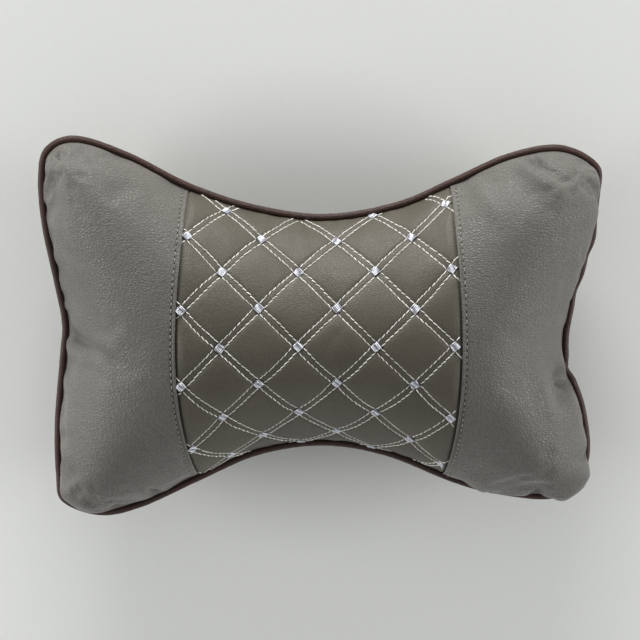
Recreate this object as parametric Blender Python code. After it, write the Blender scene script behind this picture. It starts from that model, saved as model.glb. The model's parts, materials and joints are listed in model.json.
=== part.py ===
"""A bone-shaped car neck pillow, lying on its back with its quilted face up.

X runs along the pillow, Y from its bottom edge to its top edge, and Z up through its thickness.
The origin is under the middle of the pillow, on the surface that it lies on. Lengths are in meters.

The cover has a quilted center panel and two side panels in front, one panel behind, and piping in the
seam all round. It holds a loose fiber filling. An elastic strap, caught in the two side seams, runs across
the back.
"""

import functools
import math

import bpy
import numpy as np

# Outer edge of the piping, seen from the front, clockwise from the top left lobe. The four lobe tips are
# where the side edges end and the long edges begin.
LEFT_TOP_TIP = (-0.1370, 0.0906)
RIGHT_TOP_TIP = (0.1365, 0.0835)
RIGHT_BOTTOM_TIP = (0.1300, -0.0835)
LEFT_BOTTOM_TIP = (-0.1300, -0.0901)
TOP_EDGE = (
    (-0.1215, 0.0968),
    (-0.0950, 0.0881),
    (-0.0650, 0.0727),
    (-0.0325, 0.0618),
    (0.0025, 0.0572),
    (0.0375, 0.0633),
    (0.0650, 0.0753),
    (0.0925, 0.0878),
    (0.1180, 0.0922),
)
RIGHT_EDGE = (
    (0.1398, 0.0707),
    (0.1370, 0.0456),
    (0.1268, 0.0123),
    (0.1237, -0.0138),
    (0.1320, -0.0410),
    (0.1348, -0.0656),
)
BOTTOM_EDGE = (
    (0.1160, -0.0891),
    (0.0900, -0.0874),
    (0.0650, -0.0799),
    (0.0325, -0.0666),
    (0.0010, -0.0613),
    (-0.0312, -0.0661),
    (-0.0600, -0.0789),
    (-0.0900, -0.0930),
    (-0.1110, -0.0973),
)
LEFT_EDGE = (
    (-0.1330, -0.0758),
    (-0.1333, -0.0487),
    (-0.1303, -0.0138),
    (-0.1293, 0.0020),
    (-0.1333, 0.0236),
    (-0.1388, 0.0512),
    (-0.1405, 0.0748),
)
POINTS_PER_SPAN = 8

# Stuffed shape
FRONT_BULGE = 0.0480  # height of the quilted face over the piping, at the middle
BACK_BULGE = 0.0460  # the same behind, before the surface below flattens it
EDGE_SOFTNESS = 0.0100  # the larger, the flatter the cover leaves the piping
BACK_DEPTH = 0.0390  # piping to the flattened back
BACK_ROUNDING = 0.0030  # how gradually the back turns flat

# Cover and filling
CLEARANCE = 0.0003  # between pieces that touch
SIDE_WALL = 0.0012  # leatherette
CENTER_WALL = 0.0024  # leatherette on wadding
BACK_WALL = 0.0012
PIPING_RADIUS = 0.00175

# Seams between the center panel and the side panels: distance from the middle of the pillow
LEFT_SEAM_TOP = -0.0673
LEFT_SEAM_MIDDLE = -0.0701
LEFT_SEAM_BOTTOM = -0.0603
RIGHT_SEAM_TOP = 0.0658
RIGHT_SEAM_MIDDLE = 0.0689
RIGHT_SEAM_BOTTOM = 0.0633

# Quilting
EQUATOR = -0.0021  # the waist's middle line, along Y
QUILT_COLUMN = 0.0189  # between neighboring columns of knots
QUILT_ROW = 0.0189  # between neighboring rows of knots, along the cloth
QUILT_SHIFT = -0.0008  # middle of the quilting from the middle of the panel, along X
QUILT_RAISE = 0.0118  # the same along the cloth, toward the top edge
QUILT_PUFF = 0.0010  # rise of each diamond's middle
ROW_SPACING = 0.0033  # between the two threads of a double row
THREAD_WIDTH = 0.0007
THREAD_HEIGHT = 0.0005
THREAD_LIFT = 0.00055  # thread over the valley that it lies in
KNOT_SIDE = 0.0044
KNOT_HEIGHT = 0.0009
KNOT_MARGIN = 0.0014  # from a knot's middle to the panel's edge, at least
SHORTEST_THREAD = 0.0040  # a shorter loose end is left out

# Topstitching beside the two seams
TOPSTITCH_INSET = 0.0027
TOPSTITCH_RADIUS = 0.0003
TOPSTITCH_MARGIN = 0.0060  # free of stitches at the piping
TOPSTITCH_STATIONS = 30

# Elastic strap across the back
STRAP_WIDTH = 0.0250
STRAP_THICKNESS = 0.0012
STRAP_MIDDLE = -0.0080  # its middle line, along Y

# Color and roughness
TAUPE_LEATHERETTE = (0.165, 0.16, 0.145), 0.5
QUILTED_LEATHERETTE = (0.107, 0.1, 0.083), 0.45
BROWN_LEATHERETTE = (0.045, 0.022, 0.017), 0.4
WHITE_THREAD = (0.72, 0.72, 0.78), 0.5
GREY_THREAD = (0.2, 0.195, 0.18), 0.6
WHITE_FIBER = (0.85, 0.85, 0.83), 0.9
BLACK_ELASTIC = (0.02, 0.02, 0.02), 0.8

# Mesh density
SIDE_COLUMNS = 7
CENTER_COLUMNS = 7  # half columns of the quilting from its middle to the last one
ROWS_ABOVE = 7  # half rows of the quilting over its middle
ROWS_BELOW = 9
THREAD_STEPS = 2

SEAM_HEIGHT = BACK_DEPTH + STRAP_THICKNESS + CLEARANCE
RIM_HEIGHT = CLEARANCE / 2  # panel edge over or under the seam's plane
RIM_INSET = 2 * PIPING_RADIUS + 2 * CLEARANCE  # panel edge inside the outer edge


def closed_spline(points):
    """Smooth closed curve through the points, POINTS_PER_SPAN samples to each span."""
    p1 = np.array(points)
    p0, p2, p3 = np.roll(p1, 1, 0), np.roll(p1, -1, 0), np.roll(p1, -2, 0)
    samples = []
    for step in range(POINTS_PER_SPAN):
        t = step / POINTS_PER_SPAN
        samples.append(
            p1
            + 0.5 * t * (p2 - p0)
            + t * t * (p0 - 2.5 * p1 + 2 * p2 - 0.5 * p3)
            + t**3 * 0.5 * (3 * p1 - 3 * p2 + p3 - p0)
        )
    return np.stack(samples, 1).reshape(-1, 2)


def inward_normals(loop):
    """Unit normals of a clockwise loop, pointing inside it."""
    along = np.roll(loop, -1, 0) - np.roll(loop, 1, 0)
    along /= np.linalg.norm(along, axis=1)[:, None]
    return np.stack([along[:, 1], -along[:, 0]], 1)


CONTROL = (
    LEFT_TOP_TIP,
    *TOP_EDGE,
    RIGHT_TOP_TIP,
    *RIGHT_EDGE,
    RIGHT_BOTTOM_TIP,
    *BOTTOM_EDGE,
    LEFT_BOTTOM_TIP,
    *LEFT_EDGE,
)
RIGHT_TOP_INDEX = (1 + len(TOP_EDGE)) * POINTS_PER_SPAN
RIGHT_BOTTOM_INDEX = RIGHT_TOP_INDEX + (1 + len(RIGHT_EDGE)) * POINTS_PER_SPAN
LEFT_BOTTOM_INDEX = RIGHT_BOTTOM_INDEX + (1 + len(BOTTOM_EDGE)) * POINTS_PER_SPAN
LOOP_LENGTH = len(CONTROL) * POINTS_PER_SPAN


def centered(loop):
    """The loop moved so that the middle of its box is at the origin."""
    return loop - (loop.min(0) + loop.max(0)) / 2


OUTER_EDGE = centered(closed_spline(CONTROL))
INWARD = inward_normals(OUTER_EDGE)
RIM = OUTER_EDGE + RIM_INSET * INWARD


def on_loop(loop, index):
    """Points of a loop at fractional indices."""
    whole = np.arange(len(loop) + 1)
    closed = np.vstack([loop, loop[:1]])
    index = np.mod(index, len(loop))
    return np.stack([np.interp(index, whole, closed[:, k]) for k in (0, 1)], -1)


def edge_distance(x, y):
    """Smooth distance to the rim: zero on it, and half the width in the middle of a strip or a disc.

    It sums, over the rim's edges, the angle that each subtends divided by the distance to its line.
    """
    total = np.zeros(np.shape(x))
    for start, end in zip(RIM, np.roll(RIM, -1, 0)):
        length = math.hypot(*(end - start))
        along = (end - start) / length
        dx, dy = start[0] - x, start[1] - y
        near = along[0] * dx + along[1] * dy
        off = np.maximum(np.abs(along[0] * dy - along[1] * dx), 1e-9)
        total += (np.arctan((near + length) / off) - np.arctan(near / off)) / off
    return math.pi / total


MIDDLE_DISTANCE = float(edge_distance(np.array(0.0), np.array(EQUATOR)))


def bulge(x, y, middle):
    """Height of the stuffed cover over the seam's plane, where it is `middle` high in the middle."""
    gain = ((middle + EDGE_SOFTNESS) ** 2 - EDGE_SOFTNESS**2) / MIDDLE_DISTANCE
    return np.sqrt(EDGE_SOFTNESS**2 + gain * edge_distance(x, y)) - EDGE_SOFTNESS


def front_height(x, y):
    """Height of the front cover."""
    return SEAM_HEIGHT + RIM_HEIGHT + bulge(x, y, FRONT_BULGE)


def back_height(x, y):
    """Height of the back cover, flattened where the pillow rests."""
    depth = RIM_HEIGHT + bulge(x, y, BACK_BULGE)
    over = np.clip((depth - BACK_DEPTH) / BACK_ROUNDING, -1, 1)
    turned = BACK_DEPTH - BACK_ROUNDING * (1 - over) ** 2 / 4
    return SEAM_HEIGHT - np.where(over > -1, turned, depth)


def seam_x(y, top, middle, bottom):
    """X of a panel seam at height y: a parabola on each side of the equator."""
    upper = middle + (top - middle) * ((y - EQUATOR) / (RIM_TOP_Y - EQUATOR)) ** 2
    lower = middle + (bottom - middle) * ((y - EQUATOR) / (RIM_BOTTOM_Y - EQUATOR)) ** 2
    return np.where(y > EQUATOR, upper, lower)


TOP_RIM = RIM[: RIGHT_TOP_INDEX + 1]
BOTTOM_RIM = RIM[RIGHT_BOTTOM_INDEX : LEFT_BOTTOM_INDEX + 1][::-1]
RIM_TOP_Y = float(np.interp(LEFT_SEAM_TOP, TOP_RIM[:, 0], TOP_RIM[:, 1]))
RIM_BOTTOM_Y = float(np.interp(LEFT_SEAM_BOTTOM, BOTTOM_RIM[:, 0], BOTTOM_RIM[:, 1]))


def column_x(across, y):
    """X of a line of the center panel's cloth: `across` runs from -1 at the left seam to 1 at the right."""
    left = seam_x(y, LEFT_SEAM_TOP, LEFT_SEAM_MIDDLE, LEFT_SEAM_BOTTOM)
    right = seam_x(y, RIGHT_SEAM_TOP, RIGHT_SEAM_MIDDLE, RIGHT_SEAM_BOTTOM)
    return (left + right) / 2 + across * (right - left) / 2


def rim_y(across, rim):
    """Y where a line of the center panel's cloth meets the rim."""
    y = rim[len(rim) // 2, 1]
    for _ in range(12):
        y = float(np.interp(column_x(across, y), rim[:, 0], rim[:, 1]))
    return y


class ClothColumn:
    """One line of the center panel's cloth, measured along the stuffed surface from its middle."""

    def __init__(self, across):
        steps = 90
        self.across = across
        self.bottom, self.top = rim_y(across, BOTTOM_RIM), rim_y(across, TOP_RIM)
        ease = np.sin(np.linspace(-math.pi / 2, math.pi / 2, 2 * steps + 1))
        self.y = (self.bottom + self.top) / 2 + ease * (self.top - self.bottom) / 2
        x = column_x(across, self.y)
        z = front_height(x, self.y)
        run = np.concatenate([[0], np.cumsum(np.hypot(np.hypot(np.diff(x), np.diff(self.y)), np.diff(z)))])
        self.arc = run - run[steps]

    def at(self, arc):
        """(x, y) at a distance along the cloth."""
        y = float(np.interp(arc, self.arc, self.y))
        return float(column_x(self.across, y)), y


PANEL_HALF_WIDTH = (RIGHT_SEAM_MIDDLE - LEFT_SEAM_MIDDLE) / 2


def quilt_across(columns):
    """A place across the center panel, so many columns from the middle of the quilting."""
    return (QUILT_SHIFT + columns * QUILT_COLUMN) / PANEL_HALF_WIDTH


def row_arcs(column):
    """Where the mesh's rows cross a cloth column: at the rims, and every half row of the quilting between."""
    inner = [QUILT_RAISE + row * QUILT_ROW / 2 for row in range(-ROWS_BELOW, ROWS_ABOVE + 1)]
    low, high = column.arc[0], column.arc[-1]
    return [low, (low + inner[0]) / 2, *inner, (high + inner[-1]) / 2, high]


def center_grid():
    """(x, y) of the center panel's mesh, by column and row, seams included."""
    inner = [quilt_across(column / 2) for column in range(-CENTER_COLUMNS, CENTER_COLUMNS + 1)]
    across = [-1, *inner, 1]
    columns = [ClothColumn(a) for a in across]
    return np.array([[c.at(arc) for arc in row_arcs(c)] for c in columns])


def side_grid(seam, side_from, side_to, bottom_from, top_from):
    """(x, y) of a side panel's mesh from the outer edge to its seam, which is a column of the center grid.

    side_from and side_to are the rim's indices at the bottom and top tips. bottom_from and top_from are
    those of the seam's two ends.
    """
    run = np.concatenate([[0], np.cumsum(np.linalg.norm(np.diff(seam, axis=0), axis=1))])
    up = (run / run[-1])[None, :, None]
    share = (np.arange(SIDE_COLUMNS + 1) / SIDE_COLUMNS) ** 1.5
    over = share[:, None, None]
    edge = on_loop(RIM, side_from + up[0, :, 0] * (side_to - side_from))[None]
    bottom = on_loop(RIM, side_from + share * (bottom_from - side_from))[:, None]
    top = on_loop(RIM, side_to + share * (top_from - side_to))[:, None]
    corners = (1 - over) * ((1 - up) * edge[:, :1] + up * edge[:, -1:])
    corners = corners + over * ((1 - up) * seam[None, :1] + up * seam[None, -1:])
    return (1 - over) * edge + over * seam[None] + (1 - up) * bottom + up * top - corners


def rim_index(point, first, last):
    """Fractional index, between two others, of the rim's point with the given x."""
    index = np.arange(first, last + 1)
    x = RIM[np.mod(index, LOOP_LENGTH), 0]
    order = np.argsort(x)
    return float(np.interp(point[0], x[order], index[order]))


def whole_grid():
    """(x, y) of the cover's mesh, and the columns of its two seams."""
    center = center_grid()
    left_seam, right_seam = center[0], center[-1]
    bottoms = [rim_index(s[0], RIGHT_BOTTOM_INDEX, LEFT_BOTTOM_INDEX) for s in (left_seam, right_seam)]
    tops = [rim_index(s[-1], 0, RIGHT_TOP_INDEX) for s in (left_seam, right_seam)]
    left = side_grid(left_seam, LEFT_BOTTOM_INDEX, LOOP_LENGTH, bottoms[0], LOOP_LENGTH + tops[0])
    right = side_grid(right_seam, RIGHT_BOTTOM_INDEX, RIGHT_TOP_INDEX, bottoms[1], tops[1])
    grid = np.concatenate([left[:-1], center, right[::-1][1:]])
    return grid, SIDE_COLUMNS, SIDE_COLUMNS + len(center) - 1


GRID, LEFT_SEAM, RIGHT_SEAM = whole_grid()
ROWS = GRID.shape[1]


def surface(height, rim):
    """The grid raised to a surface, with its edge at a given height."""
    x, y = GRID[..., 0], GRID[..., 1]
    z = np.full(x.shape, rim)
    z[1:-1, 1:-1] = height(x[1:-1, 1:-1], y[1:-1, 1:-1])
    return np.dstack([x, y, z])


def normals(points, upward):
    """Unit normals of a gridded surface. Along its edge they lie level and point outward."""
    along, over = np.gradient(points, axis=0), np.gradient(points, axis=1)
    normal = np.cross(along, over) * upward
    for corner in ((0, 0), (0, -1), (-1, 0), (-1, -1)):
        normal[corner] = (*points[corner][:2], 0)
    for edge in (np.s_[0, :], np.s_[-1, :], np.s_[:, 0], np.s_[:, -1]):
        normal[edge][:, 2] = 0
    return normal / np.linalg.norm(normal, axis=2)[..., None]


def puff():
    """Rise of the quilting at each node of the grid, from 0 on the stitch lines to 1 in the diamonds."""
    rise = np.zeros(GRID.shape[:2])
    first_column, first_row = LEFT_SEAM + 1, 2
    for i in range(first_column, RIGHT_SEAM):
        for j in range(first_row, ROWS - first_row):
            p, q = i - first_column - CENTER_COLUMNS, j - first_row - ROWS_BELOW
            rise[i, j] = abs(math.sin(math.pi * (p + q + 2) / 4) * math.sin(math.pi * (p - q) / 4)) ** 0.6
    return rise


def triangles(points, offset, flip, quilted):
    """Two triangles for each cell of a surface, cut along the stitch lines or the shorter diagonal."""
    count_j = points.shape[1]
    faces = []
    for i in range(points.shape[0] - 1):
        for j in range(count_j - 1):
            a, b = offset + i * count_j + j, offset + (i + 1) * count_j + j
            cell = (a, b, b + 1, a + 1)
            if quilted:
                first = (i + j) % 2 == 1
            else:
                first = np.linalg.norm(points[i, j] - points[i + 1, j + 1]) < np.linalg.norm(
                    points[i + 1, j] - points[i, j + 1]
                )
            order = (0, 1, 2), (0, 2, 3)
            if not first:
                order = (0, 1, 3), (1, 2, 3)
            for triple in order:
                face = [cell[k] for k in triple]
                faces.append(face[::-1] if flip else face)
    return faces


def border(count_i, count_j):
    """Indices round a grid's edge, anticlockwise seen from above."""
    bottom = [i * count_j for i in range(count_i)]
    right = [(count_i - 1) * count_j + j for j in range(1, count_j)]
    top = [i * count_j + count_j - 1 for i in range(count_i - 2, -1, -1)]
    left = [j for j in range(count_j - 2, 0, -1)]
    return bottom + right + top + left


def finished(piece, finish):
    """The object linked to the scene, with a material of its own."""
    color, roughness = finish
    made = bpy.data.materials.new(piece.name)
    made.use_nodes = True
    shader = made.node_tree.nodes["Principled BSDF"]
    shader.inputs["Base Color"].default_value = (*color, 1)
    shader.inputs["Roughness"].default_value = roughness
    piece.data.materials.append(made)
    bpy.context.scene.collection.objects.link(piece)
    return piece


def add_piece(name, vertices, faces, finish, smooth=True):
    """A named object from vertices and faces."""
    mesh = bpy.data.meshes.new(name)
    mesh.from_pydata([tuple(v) for v in vertices], [], faces)
    if smooth:
        mesh.shade_smooth()
        mesh.set_sharp_from_angle(angle=math.radians(50))
    return finished(bpy.data.objects.new(name, mesh), finish)


def add_cord(name, points, radius, finish, closed):
    """A named round cord through points."""
    curve = bpy.data.curves.new(name, "CURVE")
    curve.dimensions = "3D"
    curve.bevel_depth = radius
    curve.bevel_resolution = 2 if closed else 0
    curve.use_fill_caps = not closed
    spline = curve.splines.new("POLY")
    spline.points.add(len(points) - 1)
    for knot, point in zip(spline.points, points):
        knot.co = (*point, 1)
    spline.use_cyclic_u = closed
    return finished(bpy.data.objects.new(name, curve), finish)


def shell(name, outer, inner, finish, upward, quilted=False):
    """A closed wall between two gridded surfaces."""
    count_i, count_j = outer.shape[:2]
    total = count_i * count_j
    faces = triangles(outer, 0, not upward, quilted) + triangles(inner, total, upward, False)
    loop = border(count_i, count_j)
    for a, b in zip(loop, loop[1:] + loop[:1]):
        wall = (b, a, a + total, b + total)
        faces.append(wall if upward else wall[::-1])
    return add_piece(name, np.vstack([outer.reshape(-1, 3), inner.reshape(-1, 3)]), faces, finish)


def offset_inside(points, direction, depth):
    """The surface moved inward by a depth, which may differ from node to node."""
    return points - direction * np.asarray(depth)[..., None]


FRONT = surface(front_height, SEAM_HEIGHT + RIM_HEIGHT)
BACK = surface(back_height, SEAM_HEIGHT - RIM_HEIGHT)
FRONT_NORMAL = normals(FRONT, 1)
BACK_NORMAL = normals(BACK, -1)


def wall_depth():
    """Thickness of the front cover at each node: the quilted panel is thin where it is sewn in."""
    depth = np.full(GRID.shape[:2], SIDE_WALL)
    depth[LEFT_SEAM + 1 : RIGHT_SEAM, 1:-1] = CENTER_WALL
    return depth


def front_panels():
    """The quilted center panel and the two side panels, with a hairline between their edges."""
    outer = FRONT + FRONT_NORMAL * (QUILT_PUFF * puff())[..., None]
    inner = offset_inside(FRONT, FRONT_NORMAL, wall_depth())
    spans = {
        "left_side_panel": (0, LEFT_SEAM, TAUPE_LEATHERETTE),
        "quilted_center_panel": (LEFT_SEAM, RIGHT_SEAM, QUILTED_LEATHERETTE),
        "right_side_panel": (RIGHT_SEAM, len(GRID) - 1, TAUPE_LEATHERETTE),
    }
    for name, (first, last, finish) in spans.items():
        pieces = [outer[first : last + 1].copy(), inner[first : last + 1].copy()]
        for points in pieces:
            if first > 0:
                points[0, :, 0] += CLEARANCE / 2
            if last < len(GRID) - 1:
                points[-1, :, 0] -= CLEARANCE / 2
        shell(name, *pieces, finish, upward=True, quilted=finish is QUILTED_LEATHERETTE)


def back_panel():
    """The one-piece back of the cover."""
    inner = offset_inside(BACK, BACK_NORMAL, np.full(GRID.shape[:2], BACK_WALL))
    shell("back_panel", BACK, inner, TAUPE_LEATHERETTE, upward=False)


def filling():
    """The stuffing: it fills the cover with a small clearance."""
    front = offset_inside(FRONT, FRONT_NORMAL, wall_depth() + CLEARANCE)
    back = offset_inside(BACK, BACK_NORMAL, np.full(GRID.shape[:2], BACK_WALL + CLEARANCE))
    count_i, count_j = GRID.shape[:2]
    total = count_i * count_j
    inset = max(SIDE_WALL, BACK_WALL) + CLEARANCE
    loop = border(count_i, count_j)
    flat = front.reshape(-1, 3)
    for index in loop:
        edge = FRONT.reshape(-1, 3)[index] - FRONT_NORMAL.reshape(-1, 3)[index] * inset
        flat[index] = (edge[0], edge[1], SEAM_HEIGHT)
    same = set(loop)
    faces = triangles(front, 0, False, False)
    for face in triangles(back, total, True, False):
        faces.append([v - total if v - total in same else v for v in face])
    vertices = np.vstack([flat, back.reshape(-1, 3)])
    used = sorted({v for face in faces for v in face})
    number = {old: new for new, old in enumerate(used)}
    add_piece("fiber_filling", vertices[used], [[number[v] for v in face] for face in faces], WHITE_FIBER)


def piping():
    """The round piping, held in the seam between the front and the back."""
    line = (OUTER_EDGE + PIPING_RADIUS * INWARD)[::2]
    points = [(x, y, SEAM_HEIGHT) for x, y in line]
    add_cord("piping", points, PIPING_RADIUS, BROWN_LEATHERETTE, closed=True)


@functools.cache
def cloth_column(across):
    """The line of the center panel's cloth at a share of its half width."""
    return ClothColumn(across)


def on_panel(across, arc):
    """A point of the center panel's cloth, and the surface's normal there."""
    return on_front(*cloth_column(round(across, 3)).at(arc))


def on_front(x, y, step=0.0005):
    """The point of the front surface over (x, y), and the normal there."""
    near_x = np.array([x, x + step, x - step, x, x])
    near_y = np.array([y, y, y, y + step, y - step])
    z = front_height(near_x, near_y)
    normal = np.array([(z[2] - z[1]) / (2 * step), (z[4] - z[3]) / (2 * step), 1.0])
    return np.array([x, y, z[0]]), normal / np.linalg.norm(normal)


def inside_panel(place, margin):
    """Whether a place on the cloth is inside the center panel by a margin."""
    across = quilt_across(place[0] / QUILT_COLUMN)
    if abs(across) > 1 - margin / PANEL_HALF_WIDTH:
        return False
    arcs = cloth_column(round(across, 3)).arc
    return arcs[0] + margin < QUILT_RAISE + place[1] < arcs[-1] - margin


def over_cloth(place, lift):
    """The point at a height over a place on the cloth, measured from the middle of the quilting."""
    point, normal = on_panel(quilt_across(place[0] / QUILT_COLUMN), QUILT_RAISE + place[1])
    return point + normal * lift


class QuiltNet:
    """The embroidered net of knots, joined by double rows of thread, as one closed body."""

    reach = 6
    diagonal = math.hypot(QUILT_COLUMN, QUILT_ROW)
    rising = np.array([QUILT_COLUMN, QUILT_ROW]) / diagonal
    falling = np.array([-QUILT_COLUMN, QUILT_ROW]) / diagonal
    outward = (rising, falling, -rising, -falling)
    neighbors = ((1, 1), (-1, 1), (-1, -1), (1, -1))

    def __init__(self):
        self.vertices, self.faces = [], []
        self.mouths = {}
        cells = range(-self.reach, self.reach)
        crossings = [(c, r) for c in cells for r in cells if (c + r) % 2 == 0]
        self.knots = [knot for knot in crossings if inside_panel(self.place(knot), KNOT_MARGIN)]
        for knot in self.knots:
            self.add_knot(knot)
        for knot in self.knots:
            for side in range(4):
                self.add_rows(knot, side)

    def place(self, knot):
        """Where a knot is on the cloth."""
        return np.array([(knot[0] + 0.5) * QUILT_COLUMN, (knot[1] + 0.5) * QUILT_ROW])

    def vertex(self, place, lift):
        """Adds a vertex over the cloth."""
        self.vertices.append(over_cloth(place, lift))
        return len(self.vertices) - 1

    def section(self, knot, side, offset, distance):
        """The three corners of a thread: its foot on each side, and its crest."""
        way, over = self.outward[side], self.outward[(side + 1) % 4]
        middle = self.place(knot) + way * distance + over * offset
        half = over * THREAD_WIDTH / 2
        feet = [self.vertex(middle - half, THREAD_LIFT), self.vertex(middle + half, THREAD_LIFT)]
        return (*feet, self.vertex(middle, THREAD_LIFT + THREAD_HEIGHT))

    def add_knot(self, knot):
        """A knot, with a thread's section let into its wall wherever a thread may start."""
        half = KNOT_SIDE / 2
        foot, crest, corners = [], [], []
        for side in range(4):
            corner = self.place(knot) + half * (self.outward[side] - self.outward[(side + 1) % 4])
            low = self.vertex(corner, THREAD_LIFT)
            high = self.vertex(corner, THREAD_LIFT + THREAD_HEIGHT)
            first = self.section(knot, side, -ROW_SPACING / 2, half)
            second = self.section(knot, side, ROW_SPACING / 2, half)
            self.mouths[knot, side] = first, second
            corners.append((low, high))
            foot += [low, first[0], first[1], second[0], second[1]]
            crest += [high, first[2], second[2]]
        for side in range(4):
            (low, high), (next_low, next_high) = corners[side], corners[(side + 1) % 4]
            (a, b, c), (d, e, f) = self.mouths[knot, side]
            self.faces += [(low, a, c, high), (b, d, f, c), (e, next_low, next_high, f)]
        self.faces.append(foot[::-1])
        crown = self.vertex(self.place(knot), THREAD_LIFT + KNOT_HEIGHT)
        for start, end in zip(crest, crest[1:] + crest[:1]):
            self.faces.append((start, end, crown))

    def add_rows(self, knot, side):
        """The two threads that leave a knot's side: to the next knot, or loose up to the panel's edge."""
        neighbor = (knot[0] + self.neighbors[side][0], knot[1] + self.neighbors[side][1])
        if neighbor in self.knots:
            if side < 2:
                arrivals = self.mouths[neighbor, side + 2]
                self.add_thread(knot, side, 0, arrivals[1])
                self.add_thread(knot, side, 1, arrivals[0])
            return
        for row in range(2):
            self.add_loose_end(knot, side, row)

    def add_thread(self, knot, side, row, arrival):
        """A thread to the next knot, where its section is seen from the other side."""
        offset = (row - 0.5) * ROW_SPACING
        sections = [self.mouths[knot, side][row]]
        for step in range(1, THREAD_STEPS):
            distance = KNOT_SIDE / 2 + (self.diagonal - KNOT_SIDE) * step / THREAD_STEPS
            sections.append(self.section(knot, side, offset, distance))
        sections.append((arrival[1], arrival[0], arrival[2]))
        self.add_tube(sections)

    def add_loose_end(self, knot, side, row):
        """A thread that runs to the panel's edge. Too short a one only closes the knot's wall."""
        offset = (row - 0.5) * ROW_SPACING
        way, over = self.outward[side], self.outward[(side + 1) % 4]
        near = KNOT_SIDE / 2
        distances = np.linspace(near, self.diagonal - near, 12)
        places = [self.place(knot) + way * d + over * offset for d in distances]
        inside = [inside_panel(place, THREAD_WIDTH) for place in places]
        count = inside.index(False) if False in inside else len(inside)
        sections = [self.mouths[knot, side][row]]
        if count and distances[count - 1] - near > SHORTEST_THREAD:
            far = distances[count - 1]
            sections += [self.section(knot, side, offset, d) for d in ((near + far) / 2, far)]
            self.add_tube(sections)
        self.faces.append(sections[-1])

    def add_tube(self, sections):
        """The three sides of a thread through its sections."""
        for (a, b, c), (d, e, f) in zip(sections, sections[1:]):
            self.faces += [(a, b, e, d), (b, c, f, e), (c, a, d, f)]


def quilt_stitching():
    """The double rows of stitches and the knots at their crossings."""
    net = QuiltNet()
    add_piece("quilt_stitching", net.vertices, net.faces, WHITE_THREAD, smooth=False)


def topstitching(name, seam, outward):
    """The row of stitches along a side panel, beside its seam."""
    path, run = GRID[seam], [0.0]
    for start, end in zip(FRONT[seam], FRONT[seam][1:]):
        run.append(run[-1] + float(np.linalg.norm(end - start)))
    points = []
    for distance in np.linspace(TOPSTITCH_MARGIN, run[-1] - TOPSTITCH_MARGIN, TOPSTITCH_STATIONS):
        x, y = (float(np.interp(distance, run, path[:, k])) for k in (0, 1))
        point, normal = on_front(x + outward * TOPSTITCH_INSET, y)
        points.append(point + normal * (CLEARANCE + TOPSTITCH_RADIUS))
    add_cord(name, points, TOPSTITCH_RADIUS, GREY_THREAD, closed=False)


def lower_hull(points):
    """The underside of the convex outline of (x, z) points, from left to right."""
    chain = []
    for point in sorted(map(tuple, points)):
        while len(chain) > 1:
            (ax, az), (bx, bz) = chain[-2:]
            if (bx - ax) * (point[1] - az) - (bz - az) * (point[0] - ax) > 0:
                break
            chain.pop()
        chain.append(point)
    return np.array(chain)


def strap_path():
    """The (x, z) line that a taut strap takes over the back, ending just below the piping."""
    reach = STRAP_WIDTH / 2 + 3 * CLEARANCE
    low, high = STRAP_MIDDLE - reach, STRAP_MIDDLE + reach
    shares = (0, 0.25, 0.5, 0.75)
    surface_points = [BACK[:, j] * (1 - s) + BACK[:, j + 1] * s for j in range(ROWS - 1) for s in shares]
    surface_points = np.concatenate(surface_points)
    near = (surface_points[:, 1] > low) & (surface_points[:, 1] < high)
    hull = lower_hull(surface_points[near][:, [0, 2]])
    top = SEAM_HEIGHT - PIPING_RADIUS - 2 * CLEARANCE
    inside = np.flatnonzero(hull[:, 1] < top)
    first, last = inside[0], inside[-1]
    ends = []
    for inner, outer in ((first, first - 1), (last, last + 1)):
        share = (top - hull[inner, 1]) / (hull[outer, 1] - hull[inner, 1])
        ends.append(hull[inner] + share * (hull[outer] - hull[inner]))
    return np.vstack([ends[:1], hull[first : last + 1], ends[1:]])


def elastic_strap():
    """A flat elastic band that lies taut across the back, from one side seam to the other."""
    low, high = STRAP_MIDDLE - STRAP_WIDTH / 2, STRAP_MIDDLE + STRAP_WIDTH / 2
    path = strap_path()
    edges = np.diff(path, axis=0)
    edges /= np.linalg.norm(edges, axis=1)[:, None]
    along = np.vstack([edges[:1], edges[:-1] + edges[1:], edges[-1:]])
    along /= np.linalg.norm(along, axis=1)[:, None]
    inner = path + np.stack([along[:, 1], -along[:, 0]], 1) * CLEARANCE
    resting = path[:, 1] < path[:, 1].min() + CLEARANCE / 10
    inner[resting, 1] = STRAP_THICKNESS
    vertices = [(x, y, z) for x, z in inner for y in (low, high)]
    faces = [(2 * k, 2 * k + 1, 2 * k + 3, 2 * k + 2) for k in range(len(inner) - 1)]
    strap = add_piece("elastic_strap", vertices, faces, BLACK_ELASTIC)
    thick = strap.modifiers.new("Thickness", "SOLIDIFY")
    thick.thickness = STRAP_THICKNESS
    thick.offset = 1
    thick.use_even_offset = True


def main():
    """Builds the pillow."""
    for old in list(bpy.data.objects):
        bpy.data.objects.remove(old)
    front_panels()
    back_panel()
    filling()
    piping()
    quilt_stitching()
    topstitching("left_topstitching", LEFT_SEAM, -1)
    topstitching("right_topstitching", RIGHT_SEAM, 1)
    elastic_strap()


main()
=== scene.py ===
"""A bone-shaped leatherette neck pillow for a car seat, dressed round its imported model.

The pillow lies on its back with the quilted face up. X runs along it, Y toward its top edge and Z up.
Lengths are in meters, but the models of stitches and the tables of puckers, lobes and sinks are in millimeters.
"""

import json
import logging
import math
from collections.abc import Callable, Sequence
from dataclasses import dataclass, field
from enum import Enum

import bpy
import numpy as np
from bpy.types import Material, Node, NodeSocket, NodeTree, Object
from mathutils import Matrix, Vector
from numpy import ndarray as Array

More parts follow.
